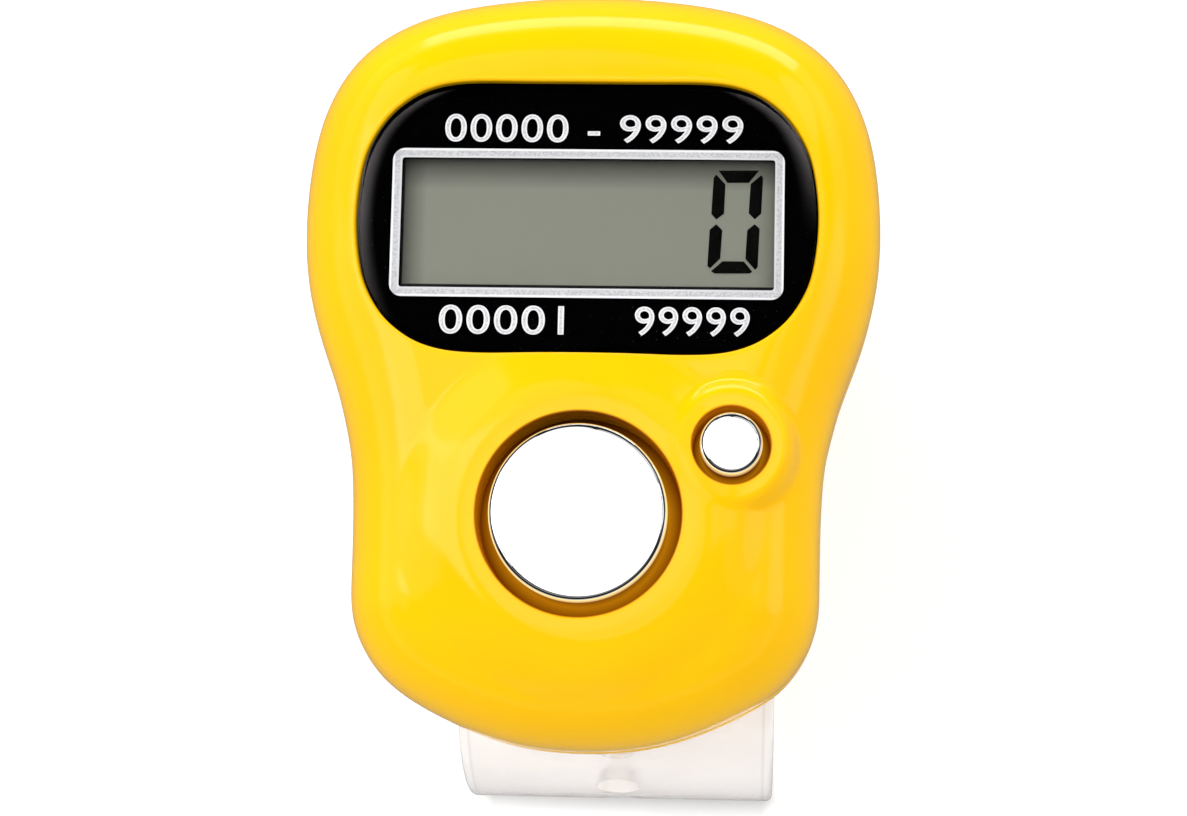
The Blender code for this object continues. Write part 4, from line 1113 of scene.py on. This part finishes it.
def strap_path():
    """The band's middle line as (y, z), from its adjustable end, down and round, to its fixed end."""
    drop = STRAP_TOP_Z - UPPER_DROP - STRAP_LOW_Z
    tails = STRAP_END * (1 - np.cos(right_angle(12)))
    bottom = np.linspace(STRAP_LOW_Y + LOWER_REACH, STRAP_HIGH_Y - LOWER_REACH, 22)[1:-1]
    return np.concatenate([
        level(STUD_PLACES[1] + STRAP_TAIL - tails, STRAP_TOP_Z),
        quarter(STRAP_LOW_Y + UPPER_REACH, UPPER_REACH, UPPER_DROP, math.pi / 2),
        quarter(STRAP_LOW_Y + LOWER_REACH, LOWER_REACH, drop, math.pi)[1:],
        level(bottom, STRAP_LOW_Z),
        quarter(STRAP_HIGH_Y - LOWER_REACH, LOWER_REACH, drop, 1.5 * math.pi),
        quarter(STRAP_HIGH_Y - UPPER_REACH, UPPER_REACH, UPPER_DROP, 0)[1:],
        level(STUD_PLACES[0] - STRAP_TAIL + tails[::-1], STRAP_TOP_Z),
    ])


def cut_long_sides(loop, count):
    """Puts evenly spaced points into the two long sides of a rounded rectangle."""
    share = (np.arange(1, count + 1) / (count + 1))[:, None]
    first, second, third, fourth = np.split(loop, 4)
    below = second[-1] + (third[0] - second[-1]) * share
    above = fourth[-1] + (first[0] - fourth[-1]) * share
    return np.concatenate([first, second, below, third, fourth, above])


path = strap_path()
run = np.concatenate([[0], np.cumsum(np.linalg.norm(np.diff(path, axis=0), axis=1))])
ahead = np.gradient(path, axis=0)
ahead /= np.linalg.norm(ahead, axis=1)[:, None]
normal = np.stack([-ahead[:, 1], ahead[:, 0]], axis=1)
sections = []
for place, side, before in zip(path, normal, run):
    cut_in = max(STRAP_END - min(before, run[-1] - before), 0)
    half = STRAP_WIDTH / 2 - STRAP_END + math.sqrt(max(STRAP_END**2 - cut_in**2, 0))
    flat = cut_long_sides(rounded_box(2 * half, STRAP_THICK, STRAP_ROUND, 0, 5), STRAP_CUTS)
    sections.append(np.column_stack([STRAP_X + flat[:, 0], place + flat[:, 1:] * side]))
strap_mesh = bare_mesh("finger_band", *capped(sections))
print("strap, mm long:", round(float(run[-1]), 1))

# %% [markdown]
# ## Trees of Geometry Nodes
#
# What repeats is work for Geometry Nodes: the holes along the strap here, and the screws further on. A tree
# has inputs for its sizes, and it ends in Realize Instances and Set Material. A modifier runs it on an
# object, and the result is kept as a plain mesh.

# %% A tree that makes a shape


class ShapeTree(Nodes):
    """A Geometry Nodes tree with named numbers as inputs."""

    def __init__(self, name, inputs):
        super().__init__(bpy.data.node_groups.new(name, "GeometryNodeTree"))
        sockets = self.tree.interface
        sockets.new_socket("Geometry", in_out="INPUT", socket_type="NodeSocketGeometry")
        for label, value in inputs.items():
            kind = "NodeSocketInt" if isinstance(value, int) else "NodeSocketFloat"
            sockets.new_socket(label, in_out="INPUT", socket_type=kind).default_value = value
        sockets.new_socket("Geometry", in_out="OUTPUT", socket_type="NodeSocketGeometry")
        self.given = self.node("NodeGroupInput")
        self.numbers = [self.given.out(label) for label in inputs]

    def shape(self, kind, **sockets):
        """A node that makes or changes geometry."""
        return self.node("GeometryNode" + kind, {}, {k.replace("_", " "): v for k, v in sockets.items()})

    def cut(self, solid, *tools):
        settings = {"operation": CUT, "solver": "EXACT"}
        return self.node("GeometryNodeMeshBoolean", settings, {"Mesh 1": solid, "Mesh 2": list(tools)})

    def end(self, solid, paint):
        """The result becomes real and gets its material."""
        real = self.shape("RealizeInstances", Geometry=solid)
        self.node("NodeGroupOutput", {}, {0: self.shape("SetMaterial", Geometry=real, Material=paint.material)})

    def run_on(self, made, values):
        """Puts the tree on an object, sets its inputs by identifier, and makes the result a plain mesh."""
        step = made.modifiers.new(self.tree.name, "NODES")
        step.node_group = self.tree
        for item in self.tree.interface.items_tree:
            if item.in_out == "INPUT" and item.name in values:
                step[item.identifier] = values[item.name]
        applied(made)
        cleaned(made.data)


print("steps of a tree:", ", ".join(name for name in vars(ShapeTree) if not name.startswith("_")))

# %% [markdown]
# ## Soft clear plastic
#
# The strap is a soft vinyl that has gone a little milky, so what is behind it shows only dimly. Its two
# long sides are paler than its face, a painted highlight, with a fine grey line of painted shade just inside
# them: both are ramps of the distance to a side. Most shadow rays pass straight through, because so thin a
# band hardly darkens what is under it.

# %% Clear plastic of the strap

strap_paint = Paint("clear_soft_strap", (0.97, 0.94, 0.92), 0.12, Transmission_Weight=0.62, IOR=1.33)
wear = strap_paint.between(strap_paint.noise(4.0, 3), 0.4, 0.7)
x, y, z = strap_paint.spot()
off_side = STRAP_WIDTH / 2 - abs(x - STRAP_X)
# Painted highlight along the two long sides, with a painted grey line of shade just inside it.
off_painted_edge = strap_paint.between(off_side, 0.42, 0.5)
milky = strap_paint.mix(wear, (0.995, 0.972, 0.958), (0.975, 0.948, 0.934))
milky = strap_paint.mix(off_painted_edge * (1 - strap_paint.between(off_side, 0.56, 0.66)), milky, (0.87, 0.85, 0.84))
strap_paint.feed(Base_Color=strap_paint.mix(1 - off_painted_edge, milky, (1.0, 0.99, 0.985)), Roughness=0.10 + 0.10 * wear)
strap_paint.bump(strap_paint.noise(3.0, 1), 0.004)
strap_paint.pass_shadow(0.78)
print("made", strap_paint.material.name)

# %% [markdown]
# ## Holes along the strap
#
# The strap is adjusted by its row of holes, and a fixed hole holds its other end. Points are set along the
# strap's own middle line at even steps, a drill is put on each, square to the band, and one Boolean node
# cuts them all.

# %% Holes along the strap

HOLE_RADIUS, HOLE_STEP, HOLE_COUNT, DRILL_LENGTH = 1.15, 4.25, 6, 2.6

line = bpy.data.curves.new("strap_line", "CURVE")
line.dimensions = "3D"
spline = line.splines.new("POLY")
spline.points.add(len(path) - 1)
for point, (y, z) in zip(spline.points, path):
    point.co = (*in_frame((STRAP_X, y, z)), 1)
strap_line = thing("strap_line", line)

bore = ShapeTree("strap_holes", {
    "Hole Radius": 0.001, "Step": 0.004, "First": 0.003, "Count": 3, "Fixed Hole": 0.07,
})
radius, step, first, count, fixed = bore.numbers
number = bore.shape("InputIndex")
in_row = bore.node("FunctionNodeCompare", {"data_type": "INT", "operation": "LESS_THAN"}, {2: number, 3: count})
distance = bore.node("GeometryNodeSwitch", {"input_type": "FLOAT"}, {0: in_row, 1: fixed, 2: number * step + first})
curve = bore.node("GeometryNodeObjectInfo", {}, {"Object": strap_line}, out="Geometry")
spots = bore.node("GeometryNodeSampleCurve", {"mode": "LENGTH"}, {"Curves": curve, "Length": distance}, out="Position")
dots = bore.shape("SetPosition", Geometry=bore.shape("Points", Count=count + 1.0), Position=spots)
facing = bore.node("FunctionNodeAlignRotationToVector", {"axis": "Y"}, {"Vector": spots.out("Tangent")})
drill = bore.shape("MeshCylinder", Vertices=48, Radius=radius, Depth=DRILL_LENGTH * MM)
drills = bore.shape("InstanceOnPoints", Points=dots, Instance=drill, Rotation=facing)
bore.end(bore.cut(bore.given, bore.shape("RealizeInstances", Geometry=drills)), strap_paint)

finger_band = thing("finger_band", strap_mesh)
bore.run_on(finger_band, {
    "Hole Radius": HOLE_RADIUS * MM, "Step": HOLE_STEP * MM, "First": STRAP_TAIL * MM, "Count": HOLE_COUNT,
    "Fixed Hole": float(run[-1] - STRAP_TAIL) * MM,
})
bpy.data.objects.remove(strap_line, do_unlink=True)
finish(finger_band, strap_paint, "case", "strap", "finger_strap")

# %% [markdown]
# ## Screws
#
# Two screws hold the halves of the case together and three hold the board. They are zinc plated steel,
# which is dull in patches and finely pitted, so noise moves both the colour and the gloss.

# %% Zinc plated steel

steel = Paint("zinc_steel", (0.6, 0.6, 0.61), 0.3, Metallic=1.0)
rub = steel.between(steel.noise(0.35, 5), 0.35, 0.7)
steel.feed(Base_Color=steel.mix(rub, (0.70, 0.70, 0.69), (0.42, 0.42, 0.43)), Roughness=0.22 + 0.25 * rub)
steel.bump(steel.noise(0.08, 3), 0.004)
print("made", steel.material.name)

# %% [markdown]
# ## A screw from its sizes
#
# A screw is a domed head with a cross cut into it, a core, a point and a thread that winds round the core.
# One Geometry Nodes tree makes the screw from its sizes and sets it on each of the points that it is given,
# so the two kinds of screw are two sets of sizes.

# %% Screws by Geometry Nodes

CASE_SCREW_LOW, BOARD_SCREW_LOW = 0.3, 5.4
SIZES = {"Head Radius": 0.001, "Head Height": 0.0005, "Core Radius": 0.0005, "Length": 0.003, "Thread Turns": 6.0}
drive = ShapeTree("screws", SIZES)
head_radius, head_height, core, length, turns = drive.numbers
shank = length - head_height - core


def vector(x, y, z):
    return drive.node("ShaderNodeCombineXYZ", {}, {"X": x, "Y": y, "Z": z})


def lifted(solid, height, turn=0.0):
    """Moves a solid up the screw's axis."""
    return drive.shape("Transform", Geometry=solid, Translation=vector(0.0, 0.0, height), Rotation=(0, 0, turn))


blank = drive.shape("MeshCylinder", Vertices=48, Side_Segments=8, Radius=head_radius, Depth=head_height)
position = drive.shape("InputPosition")
low_share = 1 - drive.node("ShaderNodeSeparateXYZ", {}, {0: position}).out("Z") / (head_height * 0.6)
pull = 1 - low_share.larger(0.0) ** 2.0 * 0.24
domed = drive.node("ShaderNodeVectorMath", {"operation": "MULTIPLY"}, {0: position, 1: vector(pull, pull, 1.0)})
head = drive.shape("SetPosition", Geometry=lifted(blank, head_height * 0.5), Position=domed)
bar = drive.shape("MeshCube", Size=vector(head_radius * 1.15, head_radius * 0.26, head_height * 0.9))
rod = drive.shape("MeshCylinder", Vertices=32, Radius=core, Depth=shank)
tip = drive.shape("MeshCone", Vertices=32, Radius_Top=core * 0.4, Radius_Bottom=core * 0.97, Depth=core)
winding = drive.shape(
    "CurveSpiral", Resolution=24, Rotations=turns, Start_Radius=core, End_Radius=core, Height=shank * 0.9,
)
crest = drive.shape("CurvePrimitiveCircle", Resolution=4, Radius=core * 0.17)
thread = drive.shape("CurveToMesh", Curve=winding, Profile_Curve=crest, Fill_Caps=True)
screw = drive.shape("JoinGeometry", Geometry=[
    drive.cut(head, bar, lifted(bar, 0.0, math.pi / 2)), lifted(rod, head_height + shank * 0.5),
    lifted(tip, length - core), lifted(thread, head_height + shank * 0.08),
])
drive.end(drive.shape("InstanceOnPoints", Points=drive.given, Instance=screw), steel)

for name, places, low, turns, sizes, nodes in (
    ("case_screws", CASE_SCREWS, CASE_SCREW_LOW, 11.0, (1.35, 0.8, 0.64, 6.8),
     ("case_screw_left", "case_screw_right")),
    ("board_screws", BOARD_SCREWS, BOARD_SCREW_LOW, 6.0, (1.0, 0.5, 0.42, 3.0),
     ("board_screw_left", "board_screw_right", "board_screw_lower")),
):
    made = thing(name, bare_mesh(name, [(*place, low) for place in places], []))
    drive.run_on(made, {**dict(zip(SIZES, (size * MM for size in sizes))), "Thread Turns": turns})
    finish(made, steel, "case", "screw_steel", *nodes)

# %% [markdown]
# ## Rubber keys
#
# Under each button sits a silicone dome that springs it back: a foot, a thin web and a flat top. It is
# turned from a profile, with a web that bends in a flat S. The domes give way when their buttons are
# pressed.

# %% Rubber keys

KEY_LOW, KEY_TOP, KEY_BASE, KEY_EDGE = 7.14, 9.2, 0.5, 0.08

rubber = Paint("grey_silicone", (0.45, 0.45, 0.44), 0.5, Subsurface_Weight=0.15, Subsurface_Scale=0.001)
bloom = rubber.between(rubber.noise(0.9, 4), 0.35, 0.7)
rubber.feed(Base_Color=rubber.mix(bloom, (0.50, 0.50, 0.49), (0.38, 0.38, 0.375)), Roughness=0.42 + 0.2 * bloom)
rubber.bump(rubber.noise(0.06, 3), 0.003)


def web(start, end, steps=8):
    """Profile points of a web, from its upper to its lower end, in a flat S."""
    points = []
    for step in range(steps + 1):
        share = step / steps
        fall = share * share * (3 - 2 * share)
        points.append((start[0] + (end[0] - start[0]) * share, start[1] + (end[1] - start[1]) * fall))
    return points


for button_name, place, radius, keep in (("count", COUNT, 4.0, 0.563), ("reset", RESET, 1.8, 0.61)):
    top, foot, hollow_top = 0.45 * radius, KEY_LOW + KEY_BASE, KEY_TOP - 2 * KEY_BASE
    profile = [(0, KEY_TOP), (top - KEY_EDGE, KEY_TOP), (top, KEY_TOP - KEY_EDGE)]
    profile += web((top, KEY_TOP - KEY_BASE), (0.8 * radius, foot))
    profile += [(radius - KEY_EDGE, foot), (radius, foot - KEY_EDGE), (radius, KEY_LOW)]
    profile += web((top / 2, hollow_top), (0.65 * radius, KEY_LOW))[::-1] + [(0, hollow_top)]
    key = piece(
        button_name + "_key", turned(profile, place), rubber, "case", "key_rubber", button_name + "_rubber_key",
    )
    anchor = tuple(in_frame((*place, KEY_LOW)))
    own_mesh(key)

# %% [markdown]
# ## The display's layers
#
# The forms of the inner parts are simple and come straight from the CAD model, so they only need finishes.
# Under the front glass lie the back glass, a crinkled reflecting film, a connector whose rubber is striped
# with carbon, and a strip of foam. Stripes are the sine of a place, and pores are Voronoi cells.

# %% Materials of the display's layers


def dress(paint, *names):
    """Gives a material to nodes of the CAD model."""
    for name in names:
        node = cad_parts[name]
        node.data.materials.clear()
        node.data.materials.append(paint.material)
        print("dressed", name)


def stripes(paint, along, pitch):
    """Even stripes along a direction."""
    return paint.between((along * (2 * math.pi / pitch)).sine(), -0.3, 0.3)


backing = Paint("display_back_glass", (0.55, 0.58, 0.52), 0.1, Transmission_Weight=0.4, IOR=1.45)
backing.feed(
    Base_Color=backing.mix(backing.noise(2.0, 3), (0.50, 0.54, 0.48), (0.60, 0.62, 0.56)),
    Roughness=0.06 + 0.1 * backing.noise(0.7, 4),
)
dress(backing, "lcd_rear_glass")

film = Paint("reflecting_film", (0.7, 0.7, 0.68), 0.35, Metallic=0.8)
crinkle = film.noise(0.05, 2)
film.feed(Base_Color=film.mix(crinkle, (0.60, 0.60, 0.58), (0.82, 0.82, 0.80)))
film.bump(crinkle, 0.003)
dress(film, "lcd_reflector")

layers = Paint("striped_connector", (0.1, 0.1, 0.1), 0.6)
layers.feed(
    Base_Color=layers.mix(stripes(layers, layers.spot()[0], 0.1), (0.02, 0.02, 0.022), (0.55, 0.40, 0.36)),
    Roughness=0.5 + 0.2 * layers.noise(0.3, 3),
)
dress(layers, "zebra_connector")

foam = Paint("dark_foam", (0.03, 0.03, 0.03), 0.9)
pores = foam.node("ShaderNodeTexVoronoi", {}, {"Vector": foam.place(), "Scale": 1 / (0.12 * MM)})
foam.feed(Base_Color=foam.mix(pores, (0.012, 0.012, 0.012), (0.07, 0.07, 0.07)))
foam.bump(pores, 0.05)
dress(foam, "lcd_foam_strip")

# %% [markdown]
# ## The board
#
# The board is green lacquer over copper tracks, which the borders between Voronoi cells draw well enough.
# It carries gilded contact fingers under the keys, a chip under a drop of black resin, and two tiny parts
# with tinned ends.

# %% Materials of the board and what is on it

green = Paint("green_board", (0.01, 0.12, 0.05), 0.3, Coat_Weight=0.3)
cells = {"Vector": green.place(), "Scale": 1 / (1.6 * MM)}
tracks = 1 - green.between(green.node("ShaderNodeTexVoronoi", {"feature": "DISTANCE_TO_EDGE"}, cells), 0.06, 0.09)
green.feed(
    Base_Color=green.mix(tracks, (0.006, 0.075, 0.03), (0.03, 0.22, 0.09)),
    Roughness=0.25 + 0.15 * green.noise(0.3, 3),
)
green.bump(tracks, 0.03)
dress(green, "circuit_board")

gilt = Paint("gilded_contact", (0.8, 0.55, 0.2), 0.25, Metallic=1.0)
fingers = stripes(gilt, gilt.spot()[0], 0.5)
gilt.feed(
    Base_Color=gilt.mix(fingers, (0.02, 0.07, 0.03), (0.86, 0.62, 0.24)), Metallic=fingers,
    Roughness=0.2 + 0.15 * gilt.noise(0.2, 3),
)
dress(gilt, "count_contact_pad", "reset_contact_pad")

resin = Paint("black_resin", (0.012, 0.012, 0.012), 0.2, Coat_Weight=0.5)
resin.feed(
    Base_Color=resin.mix(resin.noise(0.5, 3), (0.008, 0.008, 0.008), (0.03, 0.03, 0.028)),
    Roughness=0.12 + 0.2 * resin.noise(0.4, 4),
)
resin.bump(resin.noise(0.8, 2), 0.03)
dress(resin, "chip_blob")

CHIP_X = 4.5
for name, node, body_color, speck in (
    ("tan_ceramic", "capacitor", (0.42, 0.27, 0.14), (0.50, 0.34, 0.19)),
    ("resistor_black", "resistor", (0.02, 0.02, 0.02), (0.06, 0.06, 0.06)),
):
    chip = Paint(name, body_color, 0.45)
    tinned = chip.between(abs(chip.spot()[0] - CHIP_X), 0.50, 0.53)
    solder = chip.mix(chip.noise(0.1, 3), (0.55, 0.55, 0.54), (0.75, 0.75, 0.74))
    chip.feed(
        Base_Color=chip.mix(tinned, chip.mix(chip.noise(0.08, 3), body_color, speck), solder),
        Metallic=tinned, Roughness=0.5 - 0.25 * tinned,
    )
    dress(chip, node)

# %% [markdown]
# ## The cell and its contacts
#
# A button cell is pressed from steel, and its face keeps fine rings from the press: the sine of the
# distance to its middle draws them. The contacts are cut from drawn strip, so their grain is noise that is
# pressed together along one direction.

# %% Materials of the cell and its contacts

can = Paint("cell_steel", (0.7, 0.7, 0.69), 0.25, Metallic=1.0)
from_middle = from_place(*can.spot()[:2], CELL)
turned_rings = (from_middle * (2 * math.pi / 0.07)).sine()
can.feed(
    Base_Color=can.mix(can.noise(1.5, 4), (0.74, 0.74, 0.72), (0.60, 0.60, 0.59)),
    Roughness=0.22 + 0.05 * turned_rings + 0.1 * can.noise(0.6, 3),
)
can.bump(turned_rings, 0.002)
dress(can, "battery_cell")

spring = Paint("spring_steel", (0.65, 0.63, 0.58), 0.3, Metallic=1.0)
drawn = spring.node("ShaderNodeMapping", {}, {"Vector": spring.place(), "Scale": (12, 1, 1)})
grain = spring.noise(0.8, 4, drawn)
spring.feed(Base_Color=spring.mix(grain, (0.55, 0.53, 0.48), (0.78, 0.76, 0.70)), Roughness=0.2 + 0.25 * grain)
dress(spring, "battery_leaf_contact", "battery_clip_contact")

# %% [markdown]
# ## The sky of the studio
#
# The photo was taken in soft light from all round, but the chromed edges show a dark room, down to the
# bright backdrop at the horizon. So reflections see a darker sky than the one that lights the counter: the
# sky's strength depends on whether a ray is a reflection.

# %% Sky

scene = bpy.context.scene
scene.view_settings.view_transform = "Standard"
scene.world = bpy.data.worlds.new("studio")
scene.world.use_nodes = True
sky = Nodes(scene.world.node_tree)
background = sky.tree.nodes["Background"]
background.inputs["Color"].default_value = (1, 1, 1, 1)
way = sky.node("ShaderNodeSeparateXYZ", {}, {0: sky.node("ShaderNodeTexCoord", out="Generated")})
toward_lower = sky.between(way.out("Y"), -0.5, -0.1, 0.25, 0.0)
upper = sky.between(way.out("Z") + toward_lower, 0.30, 0.45, 0.8, toward_lower * 1.2 + 0.03)
mirrored = upper * sky.between(way.out("Z"), -0.05, 0.02, 0.3)
glossy = sky.node("ShaderNodeLightPath", out="Is Glossy Ray")
strength = sky.node("ShaderNodeMix", {"data_type": "FLOAT"}, {0: glossy, 2: 0.52, 3: mirrored})
sky.tree.links.new(strength.socket, background.inputs["Strength"])

print("made", scene.world.name)

# %% [markdown]
# ## The floor
#
# The counter stands on white, and it is lit so brightly that the floor has gone to paper white. The light
# leaves hardly any shadow, so a contact shadow is painted into the floor's colour where the strap touches it.

# %% Paper white floor

STRAP_EDGE_Y = -20.7
paper = Paint("white_floor", (0.9, 0.9, 0.9), 0.6, Emission_Color=(1, 1, 1, 1), Emission_Strength=0.16)
x, y, z = paper.spot()
# Painted contact shadow: the floor is darker under the strap and just ahead of it.
beside = (abs(x - STRAP_X) - STRAP_WIDTH / 2 + 0.5).larger(0.0)
ahead_of = (STRAP_EDGE_Y - y).larger(0.0) + 0.24 * (y - STRAP_EDGE_Y).larger(0.0)
under = 1 - paper.between(beside + ahead_of, 0.0, 1.1)
white = paper.mix(paper.noise(40, 2), (0.9, 0.9, 0.9), (0.88, 0.88, 0.88))
paper.feed(Base_Color=paper.mix(under, white, (0.48, 0.48, 0.48)))
floor_mesh = bpy.data.meshes.new("floor")
floor_mesh.from_pydata([(-3, -3, 0), (3, -3, 0), (3, 3, 0), (-3, 3, 0)], [], [(0, 1, 2, 3)])
floor_mesh.materials.append(paper.material)
floor = thing("floor", floor_mesh)
floor.visible_glossy = False
floor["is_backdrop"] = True
print("made", paper.material.name)

# %% [markdown]
# ## Lamps
#
# Suns with a wide angle stand for soft patches of the sky, and each has its own strength, because the photo
# is lighter from some sides. Softboxes draw the long highlights on the yellow gloss, and a panel over the
# counter is what the chromed faces reflect.

# %% Lamps


def toward(turn, tilt):
    """A direction, turned from +X and tilted from straight above, in degrees."""
    flat, rise = math.sin(math.radians(tilt)), math.cos(math.radians(tilt))
    return Vector((flat * math.cos(math.radians(turn)), flat * math.sin(math.radians(turn)), rise))


def lamp(name, kind, power, direction):
    """A light that shines from a direction."""
    light = bpy.data.lights.new(name, kind)
    light.energy = power
    holder = thing(name, light)
    holder.rotation_euler = direction.to_track_quat("Z", "Y").to_euler()
    return light, holder


def panel(name, place, aim, size, power):
    """A soft rectangular light, in millimetres, that faces a point."""
    where = Vector(in_frame(place))
    light, holder = lamp(name, "AREA", power, where - Vector(in_frame(aim)))
    light.shape, light.size, light.size_y = "RECTANGLE", size[0] * MM, size[1] * MM
    holder.location = where


# Soft patches of the sky: their turn, tilt and strength.
SKY = (
    (0, 4, 0.225), (60, 28, 0.11), (120, 28, 0.18), (240, 28, 0.08), (0, 52, 0.065), (45, 52, 0.26),
    (135, 52, 0.275), (180, 52, 0.14), (270, 52, 0.035), (0, 74, 0.195), (36, 74, 0.09), (180, 74, 0.105),
    (216, 74, 0.19), (324, 74, 0.32), (270, 70, 0.2),
)
SKY_SPREAD = math.radians(26)
SOFTBOXES = (
    ("left_softbox", 165, 36, (140, 220), 0.34), ("low_left_softbox", 160, 60, (150, 60), 0.036),
    ("far_softbox", 85, 82, (320, 100), 0.46), ("right_softbox", 15, 38, (95, 150), 0.055),
)
BOX_DISTANCE, BOX_AIM = 300, (0, 0, 10)
for turn, tilt, strength in SKY:
    light, holder = lamp(f"sky_{turn}_{tilt}", "SUN", strength, toward(turn, tilt))
    light.angle = SKY_SPREAD
    # Those on the lower side only fill the shadows and show in no reflection.
    holder.visible_glossy = turn <= 180
for name, turn, tilt, size, power in SOFTBOXES:
    panel(name, Vector(BOX_AIM) + BOX_DISTANCE * toward(turn, tilt), BOX_AIM, size, power)
panel("over_the_counter", (-17, 36, 310), (0, 0, 12), (92, 80), 0.026)
print("lights are up")

# Both boxes are printed.

# %% Print both sizes
size = {"cad": [list(corner) for corner in cad_box], "visual": [list(corner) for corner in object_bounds()]}
print(size)
